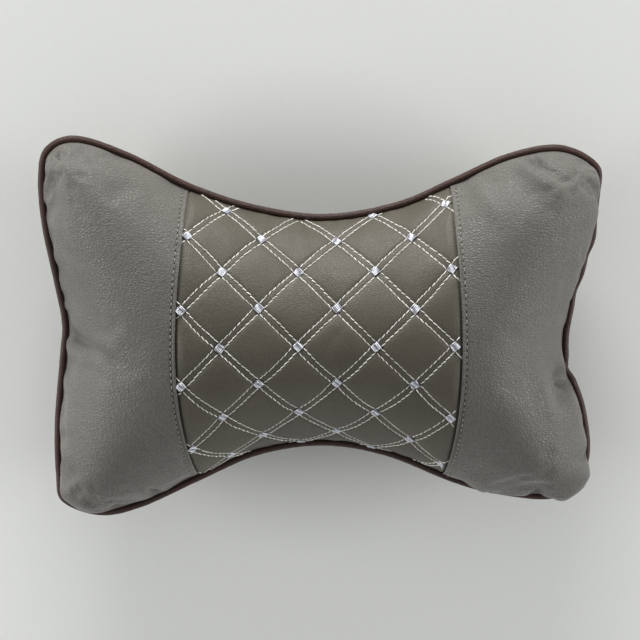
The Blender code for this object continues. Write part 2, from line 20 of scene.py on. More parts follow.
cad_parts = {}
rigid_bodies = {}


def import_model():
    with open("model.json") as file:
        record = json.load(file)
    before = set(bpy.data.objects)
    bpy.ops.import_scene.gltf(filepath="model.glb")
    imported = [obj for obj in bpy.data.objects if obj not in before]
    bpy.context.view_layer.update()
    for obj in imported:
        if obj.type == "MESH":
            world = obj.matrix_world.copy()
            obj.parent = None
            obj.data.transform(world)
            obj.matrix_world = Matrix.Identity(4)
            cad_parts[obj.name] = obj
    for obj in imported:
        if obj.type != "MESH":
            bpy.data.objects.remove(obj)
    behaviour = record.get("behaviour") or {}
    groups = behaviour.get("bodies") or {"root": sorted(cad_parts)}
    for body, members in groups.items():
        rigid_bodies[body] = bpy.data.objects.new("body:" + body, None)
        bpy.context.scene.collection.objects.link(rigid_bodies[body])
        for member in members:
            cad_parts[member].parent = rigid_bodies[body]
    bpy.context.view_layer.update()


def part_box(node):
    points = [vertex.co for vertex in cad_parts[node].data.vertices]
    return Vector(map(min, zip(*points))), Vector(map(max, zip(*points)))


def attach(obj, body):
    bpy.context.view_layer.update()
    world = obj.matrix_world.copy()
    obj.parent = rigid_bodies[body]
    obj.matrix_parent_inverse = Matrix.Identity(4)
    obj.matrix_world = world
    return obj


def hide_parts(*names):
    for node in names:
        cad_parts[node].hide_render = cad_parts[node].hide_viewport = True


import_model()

log = logging.getLogger("pillow")

MM = 0.001
SEED = 7
# Phase of the wave texture at a scale of one, in radians per meter.
WAVE_RATE = 20


class Side(Enum):
    """The two plain panels of the front."""

    LEFT = "left"
    RIGHT = "right"


class Face(Enum):
    """The two faces of the cover. The value is the sign of its outward Z."""

    FRONT = 1
    BACK = -1


def linear(code: str) -> tuple[float, float, float, float]:
    """Turns an sRGB color of six hex digits into linear RGBA.

    Args:
        code: The six digits.

    Returns:
        Linear red, green and blue, and an alpha of one.
    """
    levels = [int(code[k : k + 2], 16) / 255 for k in (0, 2, 4)]
    red, green, blue = (v / 12.92 if v <= 0.04045 else ((v + 0.055) / 1.055) ** 2.4 for v in levels)
    return red, green, blue, 1.0


def wire(tree: NodeTree, entry: NodeSocket, value: object) -> None:
    """Links a socket, or a node's first output, to an input, or sets the input's own value.

    Args:
        tree: The material's node tree.
        entry: The input.
        value: A socket, a node or a plain value.
    """
    if isinstance(value, Node):
        value = value.outputs[0]
    if isinstance(value, NodeSocket):
        tree.links.new(value, entry)
    else:
        entry.default_value = value


def add_node(tree: NodeTree, kind: str, inputs: dict | None = None, stops: Sequence = (), **settings: object) -> Node:
    """Adds a node with its settings and links.

    Args:
        tree: The material's node tree.
        kind: The node's type name without its prefix.
        inputs: Values, sockets or nodes by input name or number.
        stops: A color ramp's two stops, each a place and a hex color.
        **settings: Attributes of the node.

    Returns:
        The new node.
    """
    node = tree.nodes.new(f"ShaderNode{kind}")
    for key, value in settings.items():
        setattr(node, key, value)
    for element, (place, code) in zip(node.color_ramp.elements if stops else (), stops):
        element.position, element.color = place, linear(code)
    for key, value in (inputs or {}).items():
        wire(tree, node.inputs[key], value)
    return node


def place_in_scene(name: str, data: bpy.types.ID) -> Object:
    """Makes an object of its data and links it to the scene."""
    item = bpy.data.objects.new(name, data)
    bpy.context.scene.collection.objects.link(item)
    return item


def new_mesh(name: str, vertices: Array, faces: Sequence[Sequence[int]] | Array) -> Object:
    """Makes a smooth shaded object from its vertices and its faces' vertex numbers.

    Args:
        name: The piece's name.
        vertices: One row for each vertex.
        faces: Vertex numbers of each face.

    Returns:
        The object, linked to the scene.
    """
    mesh = bpy.data.meshes.new(name)
    mesh.from_pydata(np.asarray(vertices).tolist(), [], faces.tolist() if isinstance(faces, Array) else faces)
    mesh.update()
    mesh.shade_smooth()
    return place_in_scene(name, mesh)


def deselect() -> None:
    """Deselects everything."""
    for other in bpy.context.view_layer.objects:
        other.select_set(False)


def select_only(piece: Object) -> None:
    """Deselects everything, then selects one object and makes it active."""
    deselect()
    piece.select_set(True)
    bpy.context.view_layer.objects.active = piece


def active() -> Object:
    """The active object."""
    return bpy.context.view_layer.objects.active


def edit_all(piece: Object, operator: Callable, **settings: object) -> None:
    """Runs a mesh operator on the whole of one piece, in edit mode.

    Args:
        piece: The piece.
        operator: The operator.
        **settings: Its settings.
    """
    select_only(piece)
    bpy.ops.object.mode_set(mode="EDIT")
    bpy.ops.mesh.select_all(action="SELECT")
    operator(**settings)
    bpy.ops.object.mode_set(mode="OBJECT")


def grid_faces(count_i: int, count_j: int, flip: bool) -> Array:
    """Quads of a grid whose second index runs fastest.

    Args:
        count_i: Lines of the grid along its first index.
        count_j: Lines along its second index.
        flip: Turns the quads round.

    Returns:
        Four vertex numbers for each quad.
    """
    i, j = np.meshgrid(np.arange(count_i - 1), np.arange(count_j - 1), indexing="ij")
    a = (i * count_j + j).ravel()
    quads = np.stack([a, a + count_j, a + count_j + 1, a + 1], 1)
    return quads[:, ::-1] if flip else quads


def unit(vectors: Array) -> Array:
    """Vectors brought to a length of one."""
    return vectors / np.maximum(np.linalg.norm(vectors, axis=-1), 1e-12)[..., None]


def grid_normals(points: Array, face: Face) -> Array:
    """Unit normals of a gridded surface, pointing out of the pillow."""
    return unit(np.cross(np.gradient(points, axis=0), np.gradient(points, axis=1)) * face.value)


def raised(points: Array, rise: Array) -> Array:
    """A gridded surface of the front, moved out along its normals."""
    return points + grid_normals(points, Face.FRONT) * rise[..., None]


def turned(along: Array) -> Array:
    """Directions in a plane, turned a quarter clockwise."""
    return np.stack([along[:, 1], -along[:, 0]], 1)


def run_of(line: Array) -> Array:
    """Length of a line from its start to each of its points."""
    return np.concatenate([[0], np.cumsum(np.linalg.norm(np.diff(line, axis=0), axis=1))])


def read_off(places: Array, run: Array, line: Array) -> Array:
    """A line's columns, read off at places along its run."""
    return np.stack([np.interp(places, run, column) for column in line.T], 1)


def bell(distance: Array, width: float) -> Array:
    """A soft bump of height one that has gone at about twice its width."""
    return np.exp(-((distance / width) ** 2))


def smooth_step(value: Array) -> Array:
    """Rises smoothly from 0 to 1 while the value does."""
    share = np.clip(value, 0, 1)
    return share * share * (3 - 2 * share)


def rows(count: int, ease: float) -> Array:
    """Shares from 0 to 1, closer together toward both ends as ease goes from 0 to 1."""
    even = np.linspace(0, 1, count + 1)
    return (1 - ease) * even + ease * (0.5 - 0.5 * np.cos(math.pi * even))


def spline_weights(knots: Array, places: Array) -> Array:
    """Weights that carry values at rising knots over to other places, one row for each place.

    Args:
        knots: Rising parameters at which the values are known.
        places: Parameters at which they are wanted.

    Returns:
        One row of weights for each place.
    """
    index = np.interp(places, knots, np.arange(len(knots)))
    cell = np.clip(np.floor(index).astype(int), 0, len(knots) - 2)
    f = index - cell
    parts = (
        (-1, -0.5 * f + f**2 - 0.5 * f**3),
        (0, 1 - 2.5 * f**2 + 1.5 * f**3),
        (1, 0.5 * f + 2 * f**2 - 1.5 * f**3),
        (2, -0.5 * f**2 + 0.5 * f**3),
    )
    weights = np.zeros((len(places), len(knots)))
    for offset, value in parts:
        np.add.at(weights, (np.arange(len(places)), np.clip(cell + offset, 0, len(knots) - 1)), value)
    return weights


@dataclass(frozen=True)
class Finish:
    """A procedural material. Each kind of finish says what feeds the shader's sockets."""

    name: str

    def sockets(self, tree: NodeTree, place: NodeSocket) -> dict[str, object]:
        """Values or nodes for the shader's sockets, worked out from the place on the object."""
        raise NotImplementedError

    def build(self) -> Material:
        """Makes the material.

        Returns:
            The material, with its nodes.
        """
        made = bpy.data.materials.new(self.name)
        made.use_nodes = True
        tree = made.node_tree
        place = add_node(tree, "TexCoord").outputs["Object"]
        for key, value in self.sockets(tree, place).items():
            wire(tree, tree.nodes["Principled BSDF"].inputs[key], value)
        return made


@dataclass(frozen=True)
class Leatherette(Finish):
    """Polyurethane leatherette: a knit backing with a cast skin, embossed with a pebbled grain.

    The skin is satin. The pebbles catch small soft glints, and the creases between them are painted darker, as shade.
    """

    pebble: str
    crease: str
    cell_mm: float
    relief_mm: float
    roughness: float
    bloom: float = 0.0

    def sockets(self, tree: NodeTree, place: NodeSocket) -> dict[str, object]:
        """Pebbles with creases between them, flatter where the skin is stretched.

        Args:
            tree: The material's node tree.
            place: The place on the object.

        Returns:
            Values, sockets or nodes for the shader's sockets.
        """
        cell = self.cell_mm * MM
        # The pebbles are drawn out and bent a little, as an embossed skin is when it is pulled over a form.
        drawn = add_node(tree, "VectorMath", {0: place, 1: (0.78, 1.2, 1.0)}, operation="MULTIPLY")
        bend = add_node(tree, "TexNoise", {"Vector": place, "Scale": 1 / (4 * MM), "Detail": 2.0})
        shift = add_node(tree, "VectorMath", {0: bend.outputs["Color"], 1: (0.5, 0.5, 0.5)}, operation="SUBTRACT")
        small = add_node(tree, "VectorMath", {0: shift, "Scale": 1.1 * cell}, operation="SCALE")
        bent = add_node(tree, "VectorMath", {0: drawn, 1: small}, operation="ADD")
        grid = {"Vector": bent, "Scale": 1 / cell, "Randomness": 0.9}
        cells = add_node(tree, "TexVoronoi", grid, feature="DISTANCE_TO_EDGE")
        # Each pebble is round on top and meets the next in a narrow crease.
        down = add_node(tree, "MapRange", {"Value": cells, "From Max": 0.45, "To Min": 1.0, "To Max": 0.0})
        fall = add_node(tree, "Math", {0: down, 1: 2.0}, operation="POWER")
        domes = add_node(tree, "Math", {0: 1.0, 1: fall}, operation="SUBTRACT")
        fine = add_node(tree, "TexNoise", {"Vector": bent, "Scale": 0.8 / cell, "Detail": 2.0, "Roughness": 0.5})
        broad = add_node(tree, "TexNoise", {"Vector": place, "Scale": 1 / (22 * MM), "Detail": 2.0})
        stretch = {"Value": broad, "From Min": 0.35, "From Max": 0.65, "To Min": 0.55, "To Max": 1.0}
        grain = add_node(tree, "Math", {0: domes, 1: add_node(tree, "MapRange", stretch)}, operation="MULTIPLY")
        height = add_node(tree, "Math", {0: fine, 1: 1.1, 2: grain}, operation="MULTIPLY_ADD")
        # The creases get the darker colour as painted shade. The pebbles keep the lighter one.
        tint_with_painted_crease_shade = add_node(tree, "ValToRGB", {"Fac": grain}, [(0.0, self.crease), (0.55, self.pebble)])
        wear = {"Value": broad, "From Min": 0.3, "From Max": 0.7, "To Min": 0.975, "To Max": 1.025}
        gloss = {"Value": grain, "To Min": self.roughness + 0.14, "To Max": self.roughness - 0.03}
        relief = {"Height": height, "Strength": 1.0, "Distance": self.relief_mm * MM}
        worn = {0: tint_with_painted_crease_shade, "Scale": add_node(tree, "MapRange", wear)}
        return {
            "Base Color": add_node(tree, "VectorMath", worn, operation="SCALE"),
            "Roughness": add_node(tree, "MapRange", gloss),
            "Normal": add_node(tree, "Bump", relief),
            "IOR": 1.5,
            "Sheen Weight": self.bloom,
            "Sheen Roughness": 0.4,
        }


@dataclass(frozen=True)
class Thread(Finish):
    """Twisted sewing or embroidery thread: soft gloss along the ply, with shade painted darker between the plies."""

    light: str
    dark: str
    ply_mm: float
    roughness: float

    def sockets(self, tree: NodeTree, place: NodeSocket) -> dict[str, object]:
        """Slanting plies, broken up by specks of shadow.

        Args:
            tree: The material's node tree.
            place: The place on the object.

        Returns:
            Values, sockets or nodes for the shader's sockets.
        """
        bands = {"Vector": place, "Scale": 1 / (self.ply_mm * MM) / WAVE_RATE, "Distortion": 2.5, "Detail": 2.0}
        plies = add_node(tree, "TexWave", bands, bands_direction="DIAGONAL").outputs["Fac"]
        speck = add_node(tree, "TexNoise", {"Vector": place, "Scale": 1 / (1.6 * MM), "Detail": 2.0})
        # The dark colour between the plies and in the specks is painted shade.
        painted_ply_shade = add_node(tree, "Math", {0: plies, 1: speck}, operation="MULTIPLY")
        return {
            "Base Color": add_node(tree, "ValToRGB", {"Fac": painted_ply_shade}, [(0.0, self.dark), (0.35, self.light)]),
            "Normal": add_node(tree, "Bump", {"Height": plies, "Strength": 0.5, "Distance": 0.08 * MM}),
            "Roughness": self.roughness,
            "Sheen Weight": 0.15,
        }


@dataclass(frozen=True)
class WovenElastic(Finish):
    """Woven elastic: polyester over rubber cords, matt, with fine cross ribs between its lengthwise cords."""

    valley_shade: str
    ridge: str
    pick_mm: float

    def sockets(self, tree: NodeTree, place: NodeSocket) -> dict[str, object]:
        """Raised points of the weave where the picks cross the cords.

        Args:
            tree: The material's node tree.
            place: The place on the object.

        Returns:
            Values, sockets or nodes for the shader's sockets.
        """
        scale = 1 / (self.pick_mm * MM) / WAVE_RATE
        picks, cords = (
            add_node(tree, "TexWave", {"Vector": place, "Scale": scale, "Distortion": bend}, bands_direction=axis)
            for axis, bend in (("X", 0.4), ("Y", 0.2))
        )
        weave = add_node(tree, "Math", {0: picks.outputs["Fac"], 1: cords.outputs["Fac"]}, operation="MULTIPLY")
        return {
            # The weave's valleys are painted darker than its raised points, as shade.
            "Base Color": add_node(tree, "ValToRGB", {"Fac": weave}, [(0.1, self.valley_shade), (0.9, self.ridge)]),
            "Normal": add_node(tree, "Bump", {"Height": weave, "Strength": 0.7, "Distance": 0.2 * MM}),
            "Roughness": 0.85,
            "Sheen Weight": 0.2,
        }


@dataclass(frozen=True)
class Matt(Finish):
    """A matt finish with soft specks of two close tones."""

    dark: str
    light: str
    speck_mm: float
    roughness: float
    spread: tuple[float, float]
    detail: float = 2.0
    grit: float = 0.5
    bump_mm: float = 0.0

    def sockets(self, tree: NodeTree, place: NodeSocket) -> dict[str, object]:
        """One noise that tints the surface, and raises it where it has a bump.

        Args:
            tree: The material's node tree.
            place: The place on the object.

        Returns:
            Values, sockets or nodes for the shader's sockets.
        """
        noise = {"Vector": place, "Scale": 1 / (self.speck_mm * MM), "Detail": self.detail, "Roughness": self.grit}
        speck = add_node(tree, "TexNoise", noise)
        stops = list(zip(self.spread, (self.dark, self.light)))
        made = {"Base Color": add_node(tree, "ValToRGB", {"Fac": speck}, stops), "Roughness": self.roughness}
        if self.bump_mm:
            relief = {"Height": speck, "Strength": 0.8, "Distance": self.bump_mm * MM}
            made["Normal"] = add_node(tree, "Bump", relief)
        return made


# The side panels' grain is coarse and well raised, with a faint bloom. The quilted panel is a finer, browner and
# darker hide. The piping is nearly smooth and dark, with a soft line of light along its round.
# The second colour of each is the shade painted into the grain's creases.
TAUPE = Leatherette("pebbled taupe leatherette", "64615a", "575450", 1.5, 0.21, 0.49, 0.25)
QUILTED = Leatherette("fine-grained olive taupe leatherette", "544f43", "4a463b", 1.0, 0.11, 0.48)
BROWN = Leatherette("smooth dark brown piping leatherette", "412419", "24130d", 1.3, 0.16, 0.50)
# The rows' thread is a warm white. The knots' is cooler and glossier, with dark gaps between its strands. Each
# thread's second colour is the shade painted between its plies. The topstitching hardly shows against the cover.
WHITE_THREAD = Thread("white embroidery thread", "f6f3ec", "cdc9bf", 0.35, 0.5)
SATIN_THREAD = Thread("lilac white satin thread", "eceef4", "8e8f98", 0.3, 0.34)
GRAY_THREAD = Thread("taupe sewing thread", "908d85", "6c6962", 0.3, 0.55)
# The strap is a dull black with a fine even weave, painted darker in its valleys as shade.
ELASTIC = WovenElastic("black woven elastic", "1b1b1d", "34343a", 0.9)
# A needle hole is a dot painted dark, as the shade inside it. The filling is a soft white without gloss. The floor is
# paper, as good as even.
HOLE_SHADE = Matt("painted shade of a needle hole", "15120f", "2a2621", 0.5, 0.9, (0.3, 0.8))
FIBER = Matt("polyester fiber fill", "d6d5d0", "f3f2ef", 6, 1.0, (0.3, 0.7), 6.0, 0.75, 2.0)
PAPER = Matt("matt studio paper", "eeefeb", "f1f2ee", 3, 0.95, (0.0, 1.0), 4.0)


@dataclass
class SeamLine:
    """X of a seam between two front panels, at the top edge, on the waist's middle line and at the bottom."""

    top: float
    middle: float
    bottom: float


# The outer edge of the piping seen from the front, clockwise, as in the part's source.
LEFT_TOP_TIP = (-0.1370, 0.0906)
TOP_EDGE = (
    (-0.1215, 0.0968), (-0.0950, 0.0881), (-0.0650, 0.0727), (-0.0325, 0.0618), (0.0025, 0.0572),
    (0.0375, 0.0633), (0.0650, 0.0753), (0.0925, 0.0878), (0.1180, 0.0922),
)
RIGHT_TOP_TIP = (0.1365, 0.0835)
RIGHT_EDGE = (
    (0.1398, 0.0707), (0.1370, 0.0456), (0.1268, 0.0123), (0.1237, -0.0138), (0.1320, -0.0410), (0.1348, -0.0656),
)
RIGHT_BOTTOM_TIP = (0.1300, -0.0835)
BOTTOM_EDGE = (
    (0.1160, -0.0891), (0.0900, -0.0874), (0.0650, -0.0799), (0.0325, -0.0666), (0.0010, -0.0613),
    (-0.0312, -0.0661), (-0.0600, -0.0789), (-0.0900, -0.0930), (-0.1110, -0.0973),
)
LEFT_BOTTOM_TIP = (-0.1300, -0.0901)
LEFT_EDGE = (
    (-0.1330, -0.0758), (-0.1333, -0.0487), (-0.1303, -0.0138), (-0.1293, 0.0020),
    (-0.1333, 0.0236), (-0.1388, 0.0512), (-0.1405, 0.0748),
)


@dataclass
class PillowForm:
    """The stuffed form that every piece lies on: the seam's outline and the two bulged faces."""

    front_bulge: float = 0.0480
    back_bulge: float = 0.0460
    softness: float = 0.0100
    back_depth: float = 0.0390
    back_rounding: float = 0.0030
    equator: float = -0.0021
    tuck: float = 0.0003
    span_points: int = 8
    left_seam: SeamLine = field(default_factory=lambda: SeamLine(-0.0653, -0.0713, -0.0607))
    right_seam: SeamLine = field(default_factory=lambda: SeamLine(0.0648, 0.0698, 0.0613))

    def __post_init__(self) -> None:
        """Reads the seam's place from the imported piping, and lays the outline in it."""
        low, high = (np.array(corner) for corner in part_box("piping"))
        self.seam_height = float(low[2] + high[2]) / 2
        self.piping_radius = float(high[2] - low[2]) / 2
        top, right = (LEFT_TOP_TIP, *TOP_EDGE), (RIGHT_TOP_TIP, *RIGHT_EDGE)
        bottom, left = (RIGHT_BOTTOM_TIP, *BOTTOM_EDGE), (LEFT_BOTTOM_TIP, *LEFT_EDGE)
        loop = self.closed_spline(np.array(top + right + bottom + left))
        reach = loop.max(0) - loop.min(0)
        loop = (loop - (loop.max(0) + loop.min(0)) / 2) / reach * (high - low)[:2] + (high + low)[:2] / 2
        self.inward = turned(unit(np.roll(loop, -1, 0) - np.roll(loop, 1, 0)))
        self.piping_line = loop + self.piping_radius * self.inward
        self.rim = loop + (2 * self.piping_radius - self.tuck) * self.inward
        self.right_top = len(top) * self.span_points
        self.right_bottom = self.right_top + len(right) * self.span_points
        self.left_bottom = self.right_bottom + len(bottom) * self.span_points
        self.top_rim = self.rim[: self.right_top + 1]
        self.bottom_rim = self.rim[self.right_bottom : self.left_bottom + 1][::-1]
        self.top_y = float(np.interp(self.left_seam.top, *self.top_rim.T))
        self.bottom_y = float(np.interp(self.left_seam.bottom, *self.bottom_rim.T))
        self.middle_distance = float(self.edge_distance(np.array(0.0), np.array(self.equator)))
        self.half_width = (self.right_seam.middle - self.left_seam.middle) / 2

    def closed_spline(self, p1: Array) -> Array:
        """Smooth closed curve through points, with span_points samples to each span.

        Args:
            p1: The points, in order.

        Returns:
            The curve's samples.
        """
        p0, p2, p3 = np.roll(p1, 1, 0), np.roll(p1, -1, 0), np.roll(p1, -2, 0)
        samples = []
        for t in np.arange(self.span_points) / self.span_points:
            bend = t * t * (p0 - 2.5 * p1 + 2 * p2 - 0.5 * p3) + t**3 * 0.5 * (3 * p1 - 3 * p2 + p3 - p0)
            samples.append(p1 + 0.5 * t * (p2 - p0) + bend)
        return np.stack(samples, 1).reshape(-1, 2)

    def edge_distance(self, x: Array, y: Array) -> Array:
        """Smooth distance to the rim: zero on it, and half the width in the middle of a strip.

        Args:
            x: X of the places.
            y: Y of the places.

        Returns:
            The distance. It sums the angle that each edge of the rim subtends over the distance to its line.
        """
        total = np.zeros(np.shape(x))
        for start, end in zip(self.rim, np.roll(self.rim, -1, 0)):
            length = math.hypot(*(end - start))
            along = (end - start) / length
            dx, dy = start[0] - x, start[1] - y
            near = along[0] * dx + along[1] * dy
            off = np.maximum(np.abs(along[0] * dy - along[1] * dx), 1e-7)
            total += (np.arctan((near + length) / off) - np.arctan(near / off)) / off
        return math.pi / total

    def bulge(self, distance: Array, middle: float) -> Array:
        """Height of the cover over the seam, at a distance from the rim."""
        gain = ((middle + self.softness) ** 2 - self.softness**2) / self.middle_distance
        return np.sqrt(self.softness**2 + gain * distance) - self.softness

    def height(self, distance: Array, face: Face) -> Array:
        """Z of a face of the cover, at a distance from the rim.

        Args:
            distance: Distance from the rim.
            face: The face.

        Returns:
            Its height there.
        """
        if face is Face.FRONT:
            return self.seam_height + self.bulge(distance, self.front_bulge)
        depth = self.bulge(distance, self.back_bulge)
        over = np.clip((depth - self.back_depth) / self.back_rounding, -1, 1)
        rounded = self.back_depth - self.back_rounding * (1 - over) ** 2 / 4
        return self.seam_height - np.where(over > -1, rounded, depth)

    def seam_x(self, line: SeamLine, y: Array) -> Array:
        """X of a panel seam at Y.

        Args:
            line: The seam.
            y: Y of the places.

        Returns:
            The seam's X at each of them.
        """
        upper, lower = (
            line.middle + (end - line.middle) * ((y - self.equator) / (reach - self.equator)) ** 2
            for end, reach in ((line.top, self.top_y), (line.bottom, self.bottom_y))
        )
        return np.where(y > self.equator, upper, lower)

    def column_x(self, across: Array, y: Array) -> Array:
        """X of a line of the middle panel's cloth: across is -1 at the left seam and 1 at the right."""
        left, right = self.seam_x(self.left_seam, y), self.seam_x(self.right_seam, y)
        return (left + right) / 2 + across * (right - left) / 2

    def rim_y(self, across: Array, rim: Array) -> Array:
        """Y where lines of the middle panel's cloth meet the rim.

        Args:
            across: The lines, from -1 at the left seam to 1 at the right.
            rim: The part of the rim.

        Returns:
            One Y for each line.
        """
        y = np.full(len(across), rim[len(rim) // 2, 1])
        for _ in range(12):
            y = np.interp(self.column_x(across, y), *rim.T)
        return y

    def center_plan(self, across: Array, up: Array) -> tuple[Array, Array, Array]:
        """Lays a grid on the middle panel's cloth.

        Args:
            across: Places from -1 at the left seam to 1 at the right.
            up: Shares of the cloth's length from the bottom rim to the top rim.

        Returns:
            The grid's (x, y), and where the cloth ends below and above, measured along it from its middle.
        """
        steps = 90
        bottom, top = self.rim_y(across, self.bottom_rim), self.rim_y(across, self.top_rim)
        ease = np.sin(np.linspace(-math.pi / 2, math.pi / 2, 2 * steps + 1))
        y = (bottom + top)[:, None] / 2 + ease * (top - bottom)[:, None] / 2
        x = self.column_x(across[:, None], y)
        z = self.height(self.edge_distance(x, y), Face.FRONT)
        leg = np.sqrt(np.diff(x, axis=1) ** 2 + np.diff(y, axis=1) ** 2 + np.diff(z, axis=1) ** 2)
        run = np.concatenate([np.zeros((len(across), 1)), np.cumsum(leg, axis=1)], 1)
        grid_y = np.array([np.interp(up * r[-1], r, line) for r, line in zip(run, y)])
        plan = np.dstack([self.column_x(across[:, None], grid_y), grid_y])
        return plan, -run[:, steps], run[:, -1] - run[:, steps]

    def on_rim(self, index: Array) -> Array:
        """Points of the rim at fractional indices."""
        count = len(self.rim)
        return read_off(np.mod(index, count), np.arange(count + 1), np.vstack([self.rim, self.rim[:1]]))

    def rim_index(self, x: float, first: int, last: int) -> float:
        """Fractional index of the rim's point with a given X, between two others.

        Args:
            x: The point's X.
            first: Index of the stretch's start.
            last: Index of its end.

        Returns:
            The fractional index.
        """
        index = np.arange(first, last + 1)
        here = self.rim[np.mod(index, len(self.rim)), 0]
        order = np.argsort(here)
        return float(np.interp(x, here[order], index[order]))

    def side_plan(self, side: Side, share: Array, up: Array) -> Array:
        """Lays a grid on a side panel.

        Args:
            side: Which panel.
            share: Places from 0 at the outer edge to 1 at the seam.
            up: Shares of the seam's length from the bottom rim to the top rim.

        Returns:
            The grid's (x, y).
        """
        end = -1.0 if side is Side.LEFT else 1.0
        seam = self.center_plan(np.array([end]), up)[0][0]
        ends = self.center_plan(np.array([end]), np.array([0.0, 1.0]))[0][0]
        count = len(self.rim)
        low_tip, high_tip = (self.left_bottom, count) if side is Side.LEFT else (self.right_bottom, self.right_top)
        bottom_from = self.rim_index(ends[0][0], self.right_bottom, self.left_bottom)
        top_from = self.rim_index(ends[1][0], 0, self.right_top) + (count if side is Side.LEFT else 0)
        edge = self.on_rim(low_tip + up * (high_tip - low_tip))[None]
        bottom = self.on_rim(low_tip + share * (bottom_from - low_tip))[:, None]
        top = self.on_rim(high_tip + share * (top_from - high_tip))[:, None]
        over, rise = share[:, None, None], up[None, :, None]
        tips = self.on_rim(np.array([low_tip, high_tip]))
        corners = (1 - over) * ((1 - rise) * tips[0] + rise * tips[1])
        corners = corners + over * ((1 - rise) * ends[0] + rise * ends[1])
        return (1 - over) * edge + over * seam[None] + (1 - rise) * bottom + rise * top - corners

    def whole_plan(self, sides: int, middles: int, up: Array) -> tuple[Array, list[Array]]:
        """Lays one grid over the whole cover.

        Args:
            sides: Cells across each side panel.
            middles: Cells across the middle panel.
            up: Shares of the length from the bottom rim to the top rim.

        Returns:
            The grid's (x, y), and the places of its lines across the left, middle and right panels.
        """
        share = (np.arange(sides + 1) / sides) ** 1.5
        across = np.linspace(-1, 1, middles + 1)
        left = self.side_plan(Side.LEFT, share, up)
        center = self.center_plan(across, up)[0]
        right = self.side_plan(Side.RIGHT, share, up)[::-1]
        return np.concatenate([left[:-1], center, right[1:]]), [share, across, share]

    def lift(self, plan: Array, face: Face) -> tuple[Array, Array]:
        """Raises a grid to a face of the cover.

        Args:
            plan: The grid's (x, y).
            face: The face.

        Returns:
            The grid's points, and their distance from the rim.
        """
        x, y = plan[..., 0], plan[..., 1]
        distance = self.edge_distance(x, y)
        return np.dstack([x, y, self.height(distance, face)]), distance


@dataclass(frozen=True)
class Pucker:
    """A long dent or ridge in the cover, in millimeters, seen from the front."""

    x: float
    y: float
    angle: float
    length: float
    width: float
    rise: float

    def at(self, x: Array, y: Array) -> Array:
        """Its rise in meters at places in millimeters.

        Args:
            x: X of the places.
            y: Y of the places.

        Returns:
            The rise at each of them.
        """
        turn = math.radians(self.angle)
        dx, dy = x - self.x, y - self.y
        along = dx * math.cos(turn) + dy * math.sin(turn)
        over = -dx * math.sin(turn) + dy * math.cos(turn)
        return self.rise * MM * bell(along, self.length) * bell(over, self.width)


@dataclass(frozen=True)
class Lobe:
    """A stretch of the cover that bulges out over the piping, in millimeters."""

    x: float
    y: float
    reach: float
    push: float

    def at(self, x: Array, y: Array) -> Array:
        """Its push in meters at places in millimeters."""
        return self.push * MM * bell(np.hypot(x - self.x, y - self.y), self.reach)


# Each row is x, y, angle, length, width and rise.
PUCKER_ROWS = (
    # Top left lobe: the small tuck at its tip with a ridge beside it, and the notch below.
    (-130.5, 89.5, -50, 3.4, 1.8, -4.0), (-127.0, 83.0, -50, 5.0, 2.4, 0.7),
    (-134.0, 76.0, -35, 4.0, 2.4, -0.9), (-130.5, 66.0, -70, 12.0, 3.0, -0.8),
    # Left side: the dimple that the strap pulls, and its crease.
    (-125.5, -3.5, -8, 9.0, 3.6, -3.2), (-114.0, -6.0, -14, 16.0, 4.0, -1.6),
    (-122.0, 6.0, 60, 9.0, 5.0, 1.0), (-121.0, -14.0, -60, 9.0, 5.0, 0.9), (-131.0, -55.0, 10, 5.0, 3.0, -1.8),
    # Bottom left: two tucks.
    (-82.0, -84.0, 125, 6.0, 2.0, -3.4), (-87.0, -82.0, 125, 8.0, 3.2, 1.0), (-100.0, -92.0, 150, 5.0, 2.0, -3.2),
    # Top right: the tuck with bumps at both sides.
    (107.0, 85.5, -38, 6.0, 2.4, -3.6), (108.5, 78.8, -30, 12.0, 2.9, 2.4), (100.0, 73.5, -40, 13.0, 4.5, -0.9),
    (80.5, 70.5, -50, 11.0, 4.6, 2.0), (92.0, 84.0, 5, 8.0, 4.0, 0.8),
    # Right side: the strap's deep crease, with ridges that run down from it.
    (119.5, -24.0, -60, 7.0, 2.6, -4.4), (119.0, -25.5, -66, 6.5, 2.0, -2.2), (115.0, -15.0, -80, 9.0, 3.0, 1.2),
    (115.5, -28.5, -72, 7.0, 2.4, -1.5), (111.0, -27.0, -75, 16.0, 4.0, 1.5), (122.5, -33.0, -78, 9.0, 2.8, 2.0),
    (118.5, -13.0, -80, 8.0, 3.5, 1.5), (131.0, -64.0, 10, 4.0, 2.6, -2.4),
    # Bottom right: three tucks and a low swelling.
    (107.5, -84.0, 70, 6.0, 2.6, -3.6), (101.0, -82.0, 60, 8.0, 4.0, 0.3), (72.0, -79.5, 120, 5.0, 2.4, -1.6),
)
PUCKERS = tuple(Pucker(*row) for row in PUCKER_ROWS)

